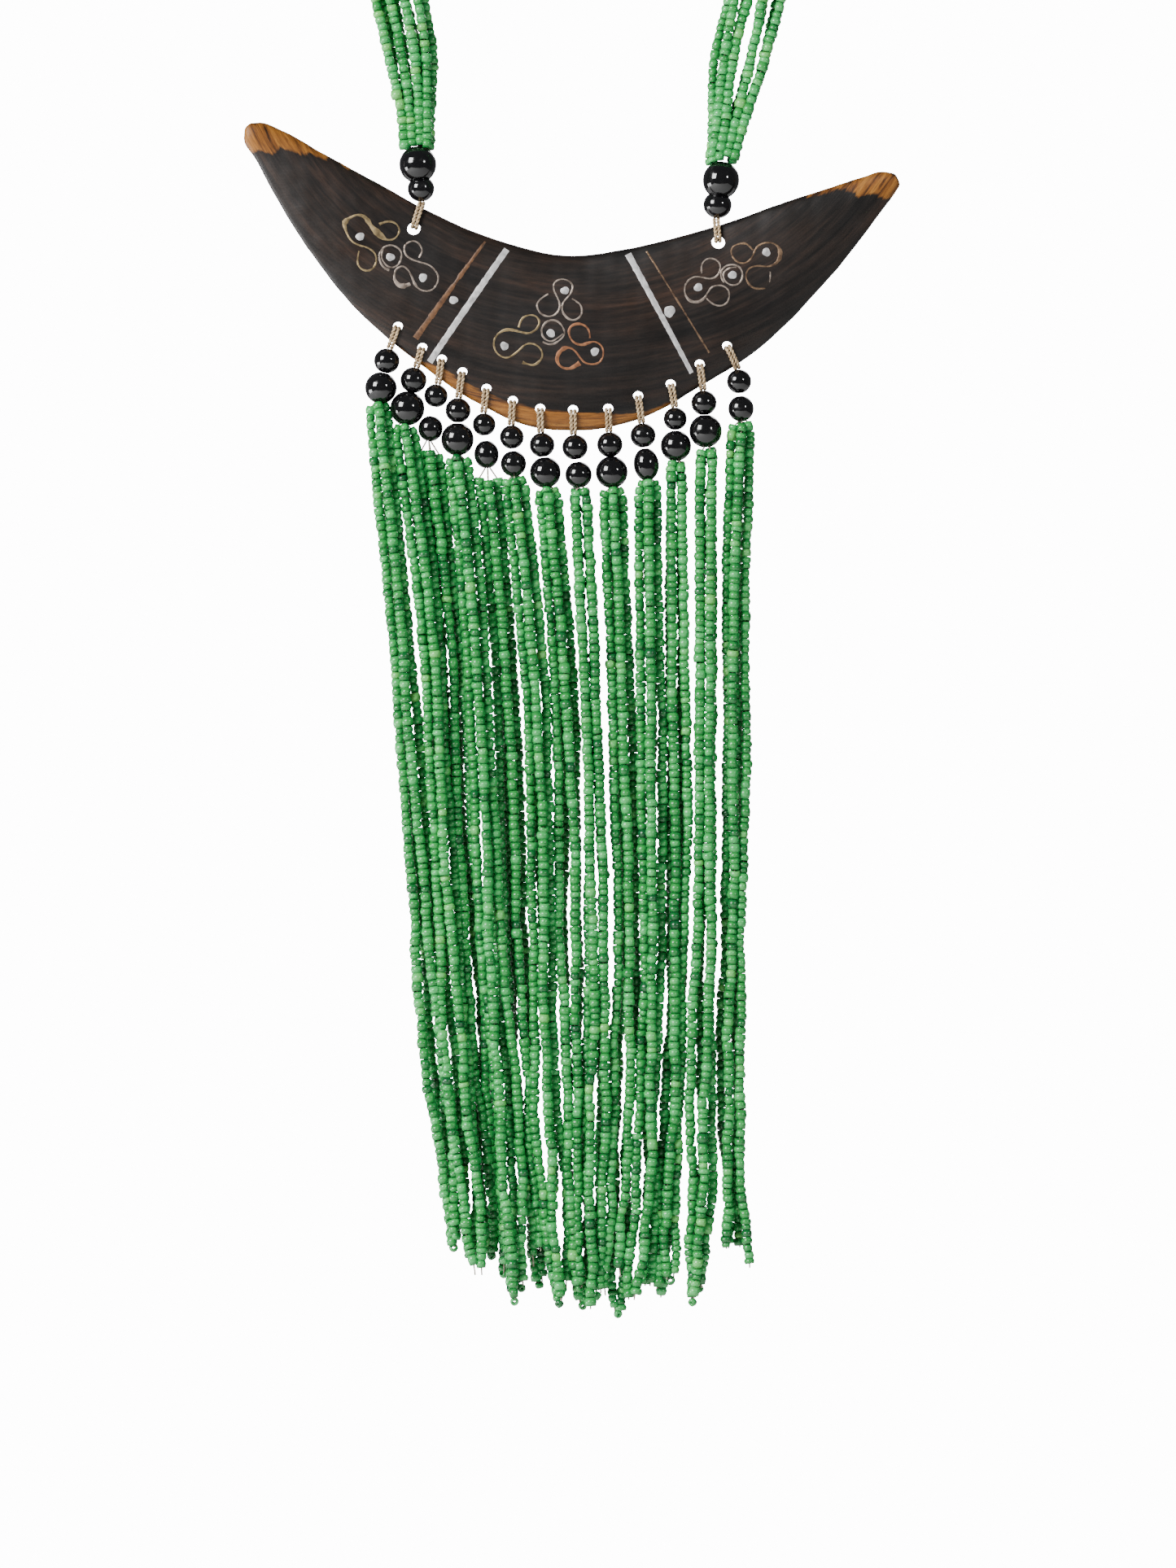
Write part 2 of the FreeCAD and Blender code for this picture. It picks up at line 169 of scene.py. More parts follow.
world = bpy.data.worlds.new("studio_sky")
bpy.context.scene.world = world
world.use_nodes = True
fill_sky = world.node_tree.nodes["Background"]
fill_sky.inputs["Color"].default_value = (0.93, 0.96, 1.0, 1)
fill_sky.inputs["Strength"].default_value = 0.17
seen_sky = world.node_tree.nodes.new("ShaderNodeBackground")
seen_sky.inputs["Color"].default_value = (1.0, 1.0, 1.0, 1)
seen_sky.inputs["Strength"].default_value = 14.0
sky_choice = world.node_tree.nodes.new("ShaderNodeMixShader")
sky_path = world.node_tree.nodes.new("ShaderNodeLightPath")
world.node_tree.links.new(sky_path.outputs["Is Camera Ray"], sky_choice.inputs["Fac"])
world.node_tree.links.new(fill_sky.outputs["Background"], sky_choice.inputs[1])
world.node_tree.links.new(seen_sky.outputs["Background"], sky_choice.inputs[2])
world_output = world.node_tree.nodes["World Output"]
world.node_tree.links.new(sky_choice.outputs["Shader"], world_output.inputs["Surface"])
print("four soft lights and a pale floor")

# %% [markdown]
# ## One smooth line for each cord
# A hanging string is limp, so it follows one smooth curve. Its listed points are the control points of
# a NURBS spline, and everything on the string, such as the thread and each bead, follows points read from it.

# %% Reading points from a spline
SPLINE_DETAIL = 24


def spline_line(points, closed=False):
    """Points along the NURBS curve that these control points shape."""
    data = bpy.data.curves.new("line", "CURVE")
    data.dimensions = "3D"
    data.resolution_u = SPLINE_DETAIL
    spline = data.splines.new("NURBS")
    spline.points.add(len(points) - 1)
    for point, place in zip(spline.points, points):
        point.co = (*place, 1.0)
    spline.order_u = 3
    if closed:
        spline.use_cyclic_u = True
    else:
        spline.use_endpoint_u = True
    curve = bpy.data.objects.new("line", data)
    bpy.context.scene.collection.objects.link(curve)
    bpy.context.view_layer.update()
    depsgraph = bpy.context.evaluated_depsgraph_get()
    mesh = bpy.data.meshes.new_from_object(curve.evaluated_get(depsgraph))
    line = np.array([vertex.co for vertex in mesh.vertices], float)
    bpy.data.objects.remove(curve)
    bpy.data.curves.remove(data)
    bpy.data.meshes.remove(mesh)
    return line


def distances(line):
    """How far along the line each of its points is."""
    steps = np.linalg.norm(np.diff(line, axis=0), axis=1)
    return np.concatenate([[0.0], np.cumsum(steps)])


def at_distance(line, where):
    """The places on the line at these distances along it."""
    along = distances(line)
    return np.stack([np.interp(where, along, line[:, axis]) for axis in range(3)], axis=1)


def directions(line):
    """The line's direction at each of its points."""
    ahead = np.gradient(line, axis=0)
    return ahead / np.linalg.norm(ahead, axis=1, keepdims=True)


def frames(tangents, reference):
    """Two directions square to each tangent, turned towards the reference direction."""
    first = np.cross(tangents, np.asarray(reference, float))
    first /= np.linalg.norm(first, axis=1, keepdims=True)
    return first, np.cross(tangents, first)


print("a straight test line has", len(spline_line([(0, 0, 0), (0, 0, 0.1), (0, 0, 0.2)])), "points")

# %% [markdown]
# ## One seed bead
# A seed bead is a short piece of drawn glass tube with its edges melted round. A ring is the nearest
# primitive: it is stretched along its bore, and its shoulders are pushed out until it is barrel-shaped. It is
# copied thousands of times, so it has only a few dozen faces.

# %% Model the seed bead
SEED_AROUND = 10
SEED_SECTION = 5
SEED_MIDDLE_RADIUS = 0.66
SEED_WALL = 0.34

deselect_all()
bpy.ops.mesh.primitive_torus_add(
    major_segments=SEED_AROUND,
    minor_segments=SEED_SECTION,
    major_radius=SEED_MIDDLE_RADIUS,
    minor_radius=SEED_WALL,
    location=(0, 0, 0),
)
seed = bpy.context.active_object
seed.name = "seed_bead_pattern"
bpy.ops.object.mode_set(mode="EDIT")
bpy.ops.mesh.select_all(action="SELECT")
bpy.ops.transform.resize(value=(1.0, 1.0, 1.0 / (0.951 * SEED_WALL)))
select_vertices(seed, lambda co: abs(co.z) > 0.9)
bpy.ops.transform.resize(value=(1.08, 1.08, 1.0))
bpy.ops.mesh.select_all(action="SELECT")
bpy.ops.mesh.normals_make_consistent(inside=False)
bpy.ops.object.mode_set(mode="OBJECT")
SEED_SHAPE = np.array([vertex.co for vertex in seed.data.vertices], float)
SEED_FACES = np.array([tuple(face.vertices) for face in seed.data.polygons], int)
bpy.data.objects.remove(seed)
print("the seed bead has", len(SEED_FACES), "faces")

# %% [markdown]
# ## Threading beads on a string
# Each bead gets its own length, width, tilt and shade of green, because hand-cut beads are never alike. The
# shade is kept in an attribute named tone, which the glass material reads.

# %% Beads along a line
SEED_RADIUS = 0.00170
SHORTEST_BEAD = 0.0016
LONGEST_BEAD = 0.0037
BEAD_GAP = 0.00003
THREAD_RADIUS = 0.00026
SIDEWAYS_SLACK = 0.00010
LOOK_AHEAD = 0.0006
BEAD_TILT = 0.09
SIDE_REFERENCE = (0.31, 0.95, 0.02)


def string_beads(line, rng, tone_shift=0.0):
    """Corner places, faces and tones for the beads that fill a line from end to end."""
    total = distances(line)[-1]
    count = int(total / SHORTEST_BEAD) + 2
    lengths = SHORTEST_BEAD + (LONGEST_BEAD - SHORTEST_BEAD) * rng.beta(1.5, 2.9, count)
    ends = np.cumsum(lengths)
    count = int(np.searchsorted(ends, total))
    lengths = lengths[:count]
    middles = ends[:count] - lengths / 2
    places = at_distance(line, middles) + rng.normal(0.0, SIDEWAYS_SLACK, (count, 3)) * (1, 1, 0)
    ahead = at_distance(line, middles + LOOK_AHEAD) - at_distance(line, middles - LOOK_AHEAD)
    tilts = rng.normal(0.0, BEAD_TILT, (count, 3))
    ahead = ahead / np.linalg.norm(ahead, axis=1, keepdims=True) + tilts
    ahead /= np.linalg.norm(ahead, axis=1, keepdims=True)
    side, front = frames(ahead, SIDE_REFERENCE)
    turn = rng.uniform(0, 2 * math.pi, count)
    across = side * np.cos(turn)[:, None] + front * np.sin(turn)[:, None]
    upright = front * np.cos(turn)[:, None] - side * np.sin(turn)[:, None]
    radii = SEED_RADIUS * np.clip(rng.normal(0.99, 0.08, count), 0.80, 1.14)
    wide = radii * rng.uniform(0.96, 1.04, count)
    half = np.maximum(lengths / 2 - BEAD_GAP / 2, 0.0005)
    shape = SEED_SHAPE
    corners = (
        places[:, None, :]
        + shape[None, :, 0:1] * (wide[:, None, None] * across[:, None, :])
        + shape[None, :, 1:2] * (radii[:, None, None] * upright[:, None, :])
        + shape[None, :, 2:3] * (half[:, None, None] * ahead[:, None, :])
    ).reshape(-1, 3)
    faces = (np.arange(count)[:, None, None] * len(shape) + SEED_FACES[None]).reshape(-1, 4)
    tones = np.clip(rng.normal(0.5 + tone_shift, 0.17, count), 0.02, 0.98)
    return corners, faces, np.repeat(tones, len(shape)), count


def thread_tube(line, radius, sides=4):
    """A thin closed tube along a line."""
    ahead = directions(line)
    side, front = frames(ahead, SIDE_REFERENCE)
    angles = np.arange(sides) * 2 * math.pi / sides
    ring = side[:, None, :] * np.cos(angles)[None, :, None]
    ring = ring + front[:, None, :] * np.sin(angles)[None, :, None]
    corners = (line[:, None, :] + ring * radius).reshape(-1, 3)
    faces = []
    for row in range(len(line) - 1):
        low = row * sides
        for step in range(sides):
            after = (step + 1) % sides
            faces.append((low + step, low + after, low + sides + after, low + sides + step))
    last = (len(line) - 1) * sides
    faces.append(tuple(range(sides))[::-1])
    faces.append(tuple(last + step for step in range(sides)))
    return corners, np.array(faces, int)


print("seed beads are", round(2000 * SEED_RADIUS, 2), "mm across")

# %% [markdown]
# ## Many copies in one mesh
# Blender draws one mesh with fifty thousand faces faster than five hundred small objects. So the beads and
# the thread of a string are gathered here and written into one mesh, with two material slots.

# %% A mesh from gathered parts
class Gathered:
    """Corners, faces, tones and slots that become one mesh."""

    def __init__(self):
        self.corners = []
        self.faces = []
        self.tones = []
        self.slots = []
        self.total = 0

    def add(self, corners, faces, tones, slot):
        """Add one part whose faces count its own corners from nought."""
        self.corners.append(corners)
        self.faces.append(np.asarray(faces) + self.total)
        self.tones.append(np.broadcast_to(tones, len(corners)))
        self.slots.append(np.full(len(faces), slot))
        self.total += len(corners)

    def piece(self, name, materials):
        """The finished object, smooth-shaded."""
        corners = np.concatenate(self.corners)
        faces = np.concatenate(self.faces)
        mesh = bpy.data.meshes.new(name)
        mesh.vertices.add(len(corners))
        mesh.vertices.foreach_set("co", corners.astype(np.float32).ravel())
        mesh.loops.add(len(faces) * 4)
        mesh.loops.foreach_set("vertex_index", faces.astype(np.int32).ravel())
        mesh.polygons.add(len(faces))
        mesh.polygons.foreach_set("loop_start", np.arange(0, len(faces) * 4, 4, dtype=np.int32))
        for material in materials:
            mesh.materials.append(material)
        mesh.polygons.foreach_set("material_index", np.concatenate(self.slots).astype(np.int32))
        mesh.update(calc_edges=True)
        mesh.validate()
        mesh.shade_smooth()
        tone = mesh.attributes.new("tone", "FLOAT", "POINT")
        tone.data.foreach_set("value", np.concatenate(self.tones).astype(np.float32))
        piece = bpy.data.objects.new(name, mesh)
        bpy.context.scene.collection.objects.link(piece)
        return piece


print("parts can now be gathered")

# %% [markdown]
# ## Node shorthand
# Every finish is a small node tree. These helpers add a node, set its plain values and join its sockets, so
# that each material below reads as a short recipe.

# %% Material helpers
def new_finish(name, roughness, metallic=0.0, ior=1.5):
    """A material with its shader, and its node tree."""
    material = bpy.data.materials.new(name)
    material.use_nodes = True
    tree = material.node_tree
    shader = tree.nodes["Principled BSDF"]
    shader.inputs["Roughness"].default_value = roughness
    shader.inputs["Metallic"].default_value = metallic
    shader.inputs["IOR"].default_value = ior
    return material, tree, shader


def node(tree, kind, inputs=None, **settings):
    """Add a node, set its settings, and give its inputs values or links."""
    made = tree.nodes.new(kind)
    for key, value in settings.items():
        setattr(made, key, value)
    for key, value in (inputs or {}).items():
        socket = made.inputs[key]
        if isinstance(value, bpy.types.NodeSocket):
            tree.links.new(value, socket)
        else:
            socket.default_value = value
    return made


def ramp(tree, factor, stops):
    """A colour ramp with these (place, colour) stops."""
    made = node(tree, "ShaderNodeValToRGB", {"Fac": factor})
    elements = made.color_ramp.elements
    while len(elements) < len(stops):
        elements.new(0.5)
    for element, (place, colour) in zip(elements, stops):
        element.position = place
        element.color = (*colour, 1.0)
    return made.outputs["Color"]


def math_node(tree, operation, first, second=0.0, clamp=False):
    """One sum on two values."""
    made = node(tree, "ShaderNodeMath", {0: first, 1: second}, operation=operation, use_clamp=clamp)
    return made.outputs["Value"]


def noise(tree, vector, scale, detail=3.0, roughness=0.5, distortion=0.0):
    """A noise pattern's value."""
    made = node(
        tree,
        "ShaderNodeTexNoise",
        {"Vector": vector, "Scale": scale, "Detail": detail, "Roughness": roughness, "Distortion": distortion},
    )
    return made.outputs["Fac"]


def place_on(tree, scale=(1, 1, 1), turn=(0, 0, 0)):
    """Object coordinates, scaled and turned."""
    coordinates = node(tree, "ShaderNodeTexCoord")
    mapping = node(
        tree,
        "ShaderNodeMapping",
        {"Vector": coordinates.outputs["Object"], "Scale": scale, "Rotation": turn},
    )
    return mapping.outputs["Vector"]


def mix_colours(tree, factor, first, second, blend="MIX"):
    """Two colours mixed by a factor."""
    made = node(tree, "ShaderNodeMix", data_type="RGBA", blend_type=blend)
    for socket, value in ((made.inputs["Factor"], factor), (made.inputs[6], first), (made.inputs[7], second)):
        if isinstance(value, bpy.types.NodeSocket):
            tree.links.new(value, socket)
        elif isinstance(value, tuple):
            socket.default_value = (*value, 1.0)
        else:
            socket.default_value = value
    return made.outputs[2]


def bump(tree, shader, height, strength, distance):
    """Raise the surface by a height pattern."""
    made = node(tree, "ShaderNodeBump", {"Height": height, "Strength": strength, "Distance": distance})
    tree.links.new(made.outputs["Normal"], shader.inputs["Normal"])
    return made


print("node helpers ready")

# %% [markdown]
# ## Green bead glass
# The beads are opaque emerald glass with a wet shine. The tone attribute moves each bead between yellow-green,
# mint and blue-green, and a fine noise keeps any one bead from being a single flat colour.

# %% Green glass and cream thread
green_glass, tree, shader = new_finish("green_bead_glass", 0.24, ior=1.52)
tone = node(tree, "ShaderNodeAttribute", attribute_name="tone").outputs["Fac"]
speckle = noise(tree, place_on(tree), 900.0, 2.0)
speckle_shift = math_node(tree, "MULTIPLY", math_node(tree, "SUBTRACT", speckle, 0.5), 0.35)
shade = math_node(tree, "ADD", tone, speckle_shift)
green = ramp(tree, shade, [
    (0.0, (0.003, 0.060, 0.016)),
    (0.25, (0.008, 0.135, 0.026)),
    (0.50, (0.017, 0.235, 0.042)),
    (0.75, (0.036, 0.345, 0.084)),
    (1.0, (0.110, 0.430, 0.088)),
])
tree.links.new(green, shader.inputs["Base Color"])
streaks = noise(tree, place_on(tree, (1, 1, 0.4)), 1400.0, 2.0)
tree.links.new(
    node(tree, "ShaderNodeMapRange", {"Value": streaks, "To Min": 0.16, "To Max": 0.36}).outputs["Result"],
    shader.inputs["Roughness"],
)
bump(tree, shader, streaks, 0.25, 0.0001)

cream_thread, tree, shader = new_finish("cream_thread", 0.8)
fibres = noise(tree, place_on(tree, (1, 1, 0.3)), 2600.0, 2.0)
tree.links.new(
    ramp(tree, fibres, [(0.3, (0.20, 0.165, 0.11)), (0.7, (0.42, 0.39, 0.31))]), shader.inputs["Base Color"]
)
bump(tree, shader, fibres, 0.4, 0.0001)
print("materials:", green_glass.name, cream_thread.name)

# %% [markdown]
# ## The fringe
# Thirteen tassels hang from the crescent. Each has four strings of beads that share one slow line and swing
# apart a little lower down. Most pairs of strings draw together again at the tip, where one small bead set
# askew joins them. The line's points are listed.

# %% The lines of the thirteen tassels
ROUTE_SHARES = (0.0, 0.19, 0.39, 0.60, 0.81, 1.0)
ROUTE_SWAY = (0.0, 0.0007, -0.0004, 0.0006, -0.0005, 0.0003)
TASSEL_LINES = [
    ((-0.0580, -0.0540, -0.0497, -0.0453, -0.0408, -0.0360), -0.4993),
    ((-0.0498, -0.0433, -0.0406, -0.0374, -0.0337, -0.0288), -0.5068),
    ((-0.0423, -0.0370, -0.0343, -0.0309, -0.0266, -0.0222), -0.5075),
    ((-0.0343, -0.0290, -0.0265, -0.0233, -0.0196, -0.0158), -0.5148),
    ((-0.0253, -0.0205, -0.0189, -0.0167, -0.0132, -0.0099), -0.5110),
    ((-0.0170, -0.0116, -0.0093, -0.0079, -0.0065, -0.0035), -0.5155),
    ((-0.0073, -0.0023, -0.0005, 0.0003, 0.0009, 0.0025), -0.5173),
    ((0.0030, 0.0060, 0.0078, 0.0083, 0.0075, 0.0088), -0.5173),
    ((0.0133, 0.0155, 0.0168, 0.0170, 0.0160, 0.0150), -0.5198),
    ((0.0236, 0.0244, 0.0255, 0.0253, 0.0238, 0.0213), -0.5145),
    ((0.0326, 0.0330, 0.0335, 0.0329, 0.0315, 0.0300), -0.5150),
    ((0.0416, 0.0415, 0.0419, 0.0414, 0.0400, 0.0390), -0.5150),
    ((0.0520, 0.0506, 0.0510, 0.0505, 0.0500, 0.0513), -0.5055),
]


def bead_ends(small, large):
    """The outer end of the small bead, the inner end of the large one, and the direction between them."""
    middles = []
    for name in (small, large):
        low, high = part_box(name)
        middles.append((low + high) / 2)
    axis = (middles[1] - middles[0]).normalized()
    reaches = []
    for name, middle in zip((small, large), middles):
        along = [abs((vertex.co - middle).dot(axis)) for vertex in nodes[name].data.vertices]
        reaches.append(max(along))
    return middles[0] - axis * reaches[0], middles[1] + axis * reaches[1], axis


STRING_TOP_GAP = 0.0003
TASSEL_SET_BACK = (
    0.0, -0.0016, 0.0024, -0.0016, 0.0024, -0.0006, 0.0012, -0.0010, 0.0010, -0.0010, 0.0006, -0.0010, 0.0006
)
tassel_points = []
for number, (across, tip) in zip(numbers, TASSEL_LINES):
    upper_end, lower_end, axis = bead_ends("small_bead_" + number, "large_bead_" + number)
    top = lower_end.z - STRING_TOP_GAP
    points = []
    for x, share, sway in zip(across, ROUTE_SHARES, ROUTE_SWAY):
        set_back = TASSEL_SET_BACK[int(number) - 1] * min(share / ROUTE_SHARES[1], 1.0)
        points.append((x, lower_end.y + sway + set_back, top + (tip - top) * share))
    points[0] = (lower_end.x, lower_end.y, top)
    tassel_points.append(points)
print("tassel 7 starts at", [round(value, 4) for value in tassel_points[6][0]])

# %% [markdown]
# ## Strings round the line
# The four strings start close together under the black bead, sit round the line as a square bundle, and
# wander by a few millimetres towards their tips, where nothing holds them.

# %% Make the tassels
BUNDLE_RADIUS = 0.00275
NARROW_RADIUS = 0.00240
NARROW_TASSELS = ("08", "11", "12")
TOP_RADIUS = 0.0017
TOP_SPREAD = 0.0035
LOW_STARTS = {"03": 3, "05": 3}
STRING_WANDER = 0.0012
TURNED_TASSELS = ("01", "02", "03", "04", "05", "06", "07", "09", "10", "13")
PAIR_RISES = ((-0.0018, 0.0040), (0.0015, -0.0025))
TIP_CLOSENESS = 0.62
JOINED_SHARE = 0.65
END_BEAD_DROP = 0.0004
END_BEAD_HALF = 0.00125
END_BEAD_SIZE = 0.85
THREAD_LEAD = 0.0012
THREAD_TAIL = 0.0002


def strand_line(line, angle, rng, rise, twist, wander, full_radius):
    """One string's own line beside the bundle's."""
    along = distances(line)
    total = along[-1]
    share = along / total
    side = np.array([1.0, 0.0, 0.0])
    back = np.array([0.0, 1.0, 0.0])
    spread = np.clip(along / TOP_SPREAD, 0, 1)
    radius = TOP_RADIUS + (full_radius - TOP_RADIUS) * spread * spread * (3 - 2 * spread)
    radius = radius * (1 + 0.10 * share)
    turn = angle + twist * share
    offset_x = radius * np.cos(turn)
    offset_y = radius * np.sin(turn)
    for waves, size in ((1.3, 1.0), (3.1, 0.55), (7.0, 0.34), (17.0, 0.19)):
        strength = wander * size * (0.12 + 0.88 * share**1.5)
        offset_x = offset_x + strength * np.sin(2 * math.pi * (waves * share + rng.uniform())) * spread
        offset_y = offset_y + 0.45 * strength * np.sin(2 * math.pi * (waves * share + rng.uniform())) * spread
    moved = line + offset_x[:, None] * side + offset_y[:, None] * back
    moved[:, 2] += rise * share
    return moved


def joined_tips(first, second, reach):
    """Two lines drawn together over their last reach, as a thread that turns back in one end bead."""
    along = distances(first)
    closeness = np.clip((along - along[-1] + reach) / reach, 0, 1)
    closeness = TIP_CLOSENESS * closeness * closeness * (3 - 2 * closeness)
    middle = (first + second) / 2
    pull = (middle - first) * closeness[:, None]
    return first + pull, second + (middle - second) * closeness[:, None]


def end_knot(place, rng):
    """A small bead set askew, which the knot holds at the end of a string."""
    askew = np.array([rng.uniform(-1, 1), rng.uniform(-1, 1), -0.6])
    askew /= np.linalg.norm(askew)
    line = np.array([place - askew * END_BEAD_HALF, place, place + askew * END_BEAD_HALF])
    corners, faces, tones, count = string_beads(line, rng)
    one_bead = slice(0, len(SEED_SHAPE))
    middle = corners[one_bead].mean(0)
    return place + (corners[one_bead] - middle) * END_BEAD_SIZE, faces[:len(SEED_FACES)], tones[one_bead]


for index, number in enumerate(numbers):
    rng = np.random.default_rng(100 + index)
    line = spline_line(tassel_points[index])
    line = at_distance(line, np.linspace(0, distances(line)[-1], 260))
    gathered = Gathered()
    base_angle = math.radians(0 if number in TURNED_TASSELS else 45)
    full_radius = NARROW_RADIUS if number in NARROW_TASSELS else BUNDLE_RADIUS
    twist = rng.uniform(-0.9, 0.9)
    beads = 0
    strands = []
    for pair in range(2):
        rise = PAIR_RISES[index % 2][pair]
        two = []
        for strand in (2 * pair, 2 * pair + 1):
            angle = base_angle + strand * math.pi / 2
            two.append(strand_line(line, angle, rng, rise, twist, STRING_WANDER, full_radius))
        if rng.uniform() < JOINED_SHARE:
            two = joined_tips(two[0], two[1], rng.uniform(0.010, 0.022))
            tip = (two[0][-1] + two[1][-1]) / 2
            corners, faces, tones = end_knot(tip - (0, 0, END_BEAD_DROP), rng)
            gathered.add(corners, faces, tones, 0)
        else:
            two[1] = two[1][:-int(rng.integers(2, 7))]
        strands += two
    for own in strands:
        first_point = int(rng.uniform(0.0, 1.4) + LOW_STARTS.get(number, 0))
        own = own[first_point:]
        corners, faces, tones, count = string_beads(own, rng, rng.uniform(-0.07, 0.07))
        gathered.add(corners, faces, tones, 0)
        beads += count
        ahead = directions(own)[-1]
        thread = own[::2]
        lead = np.array(line[0]) + (0, 0, THREAD_LEAD)
        thread = np.concatenate([[lead], thread, [own[-1] + ahead * THREAD_TAIL]])
        corners, faces = thread_tube(thread, THREAD_RADIUS)
        gathered.add(corners, faces, 0.5, 1)
    piece = gathered.piece("fringe_tassel_" + number, [green_glass, cream_thread])
    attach(piece, "tassel_" + number)
    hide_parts("fringe_strings_" + number)
    print(piece.name, "beads:", beads, "length:", round(float(distances(line)[-1]), 3))

# %% [markdown]
# ## The neck strap
# Eight strings of the same beads leave each pair of black beads together, spread as they rise over the
# chest, and go round the neck. One line carries them all, and each string keeps its own place beside it.

# %% Make the strap
STRAP_POINTS = [
    (-0.0469, -0.1610), (-0.0480, -0.1410), (-0.0535, -0.1130), (-0.0605, -0.0860), (-0.0605, -0.0540),
    (-0.0480, -0.0210), (-0.0200, 0.0057), (0.0210, 0.0057), (0.0500, -0.0200), (0.0640, -0.0530),
    (0.0650, -0.0870), (0.0578, -0.1150), (0.0512, -0.1430), (0.0469, -0.1658),
]
STRAP_STRINGS = 8
STRAP_TOPS = [Vector((-0.0468, 0.0, -0.1685)), Vector((0.0466, 0.0, -0.1733))]
SHOULDER_REACH = 0.0059
SHOULDER_NARROWING = (0.95, 0.8)
# Painted light: the strap strings get a lighter tone than the fringe, standing in for the brighter light they catch;
# the glass is the same.
STRAP_PAINTED_LIGHT = 0.16


def shoulder_end(place, side):
    """Where a string meets the round shoulder of the black bead below it, as one more point of its line."""
    centre = STRAP_TOPS[side]
    x, y = (place[0] - centre.x) * SHOULDER_NARROWING[0], place[1] * SHOULDER_NARROWING[1]
    height = math.sqrt(max(SHOULDER_REACH**2 - x * x - y * y, 0.0))
    return np.array([[centre.x + x, y, centre.z + height]])


STRAP_HALF_WIDTH = 0.0066
STRAP_HALF_DEPTH = 0.0030
STRAP_END_WIDTH = 0.0036
STRAP_END_DEPTH = 0.0019
STRAP_SPREAD_LENGTH = 0.030
ROW_DEPTH_SHARE = 0.62

strap_line = spline_line([(x, 0.0, z) for x, z in STRAP_POINTS])
strap_length = float(distances(strap_line)[-1])
strap_line = at_distance(strap_line, np.linspace(0, strap_length, 420))
rng = np.random.default_rng(7)
gathered = Gathered()
strap_beads_made = 0
across, depth = frames(directions(strap_line), (0, 1, 0))
share = distances(strap_line) / strap_length
closeness = np.clip(np.minimum(share, 1 - share) * strap_length / STRAP_SPREAD_LENGTH, 0, 1)
closeness = closeness * closeness * (3 - 2 * closeness)
for strand in range(STRAP_STRINGS):
    column = (strand % 4 - 1.5) / 1.5
    row = -1 if strand < 4 else 1
    column = column + (0.10 if row > 0 else -0.10)
    drift = 0.0007 * np.sin(2 * math.pi * (2.2 * share + rng.uniform()))
    drift = drift + 0.0005 * np.sin(2 * math.pi * (5.3 * share + rng.uniform()))
    sway = 0.0007 * np.sin(2 * math.pi * (3.1 * share + rng.uniform()))
    wide = STRAP_END_WIDTH + (STRAP_HALF_WIDTH - STRAP_END_WIDTH) * closeness
    deep = STRAP_END_DEPTH + (STRAP_HALF_DEPTH - STRAP_END_DEPTH) * closeness
    own = strap_line + across * (column * wide + drift * closeness)[:, None]
    own = own + depth * (row * deep * ROW_DEPTH_SHARE + sway * closeness)[:, None]
    own = np.concatenate([shoulder_end(own[0], 0), own, shoulder_end(own[-1], 1)])
    # The strap's beads are shifted to a lighter tone, painted light for the stronger light on the strap.
    corners, faces, tones, count = string_beads(own, rng, STRAP_PAINTED_LIGHT + rng.uniform(-0.05, 0.05))
    gathered.add(corners, faces, tones, 0)
    strap_beads_made += count
    corners, faces = thread_tube(own[::2], THREAD_RADIUS)
    gathered.add(corners, faces, 0.5, 1)
strap = gathered.piece("neck_strap_strings", [green_glass, cream_thread])
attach(strap, "neck_strap")
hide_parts("strap_strings")
print(strap.name, "beads:", strap_beads_made, "length:", round(strap_length, 3))

# %% [markdown]
# ## One black glass bead
# The black beads are wound glass: round, a little flat at the two ends of the bore, and mirror-smooth. A
# sphere is the nearest primitive. Its poles are cut out, the two openings are bridged to make the bore, and
# the rims of the bore are bevelled. Every other bead is a copy of it.

# %% Model the black bead
BLACK_AROUND = 40
BLACK_RINGS = 28
BORE_SHARE = 0.2

deselect_all()
bpy.ops.mesh.primitive_uv_sphere_add(segments=BLACK_AROUND, ring_count=BLACK_RINGS, radius=1.0)
black_pattern = bpy.context.active_object
black_pattern.name = "black_bead_pattern"
bpy.ops.object.mode_set(mode="EDIT")
select_vertices(black_pattern, lambda co: math.hypot(co.x, co.y) < BORE_SHARE)
bpy.ops.mesh.delete(type="VERT")
bpy.ops.mesh.select_mode(type="EDGE")
bpy.ops.mesh.select_all(action="SELECT")
bpy.ops.mesh.region_to_loop()
bpy.ops.mesh.bridge_edge_loops()
for side in (-1, 1):
    select_vertices(black_pattern, lambda co: co.z * side > 0.96 and math.hypot(co.x, co.y) < 0.26)
    bpy.ops.mesh.bevel(offset=0.05, segments=3, affect="EDGES")
bpy.ops.mesh.select_all(action="SELECT")
bpy.ops.mesh.normals_make_consistent(inside=False)
bpy.ops.object.mode_set(mode="OBJECT")
bpy.ops.object.shade_smooth()
black_pattern_height = max(vertex.co.z for vertex in black_pattern.data.vertices)
print("the black bead has", len(black_pattern.data.polygons), "faces")

# %% [markdown]
# ## Black glass
# Black glass hardly scatters light, so nearly all that is seen of it is reflection. A very dark colour, a low
# roughness with a few dusty patches, and shallow pits near the bore give it its handled look.

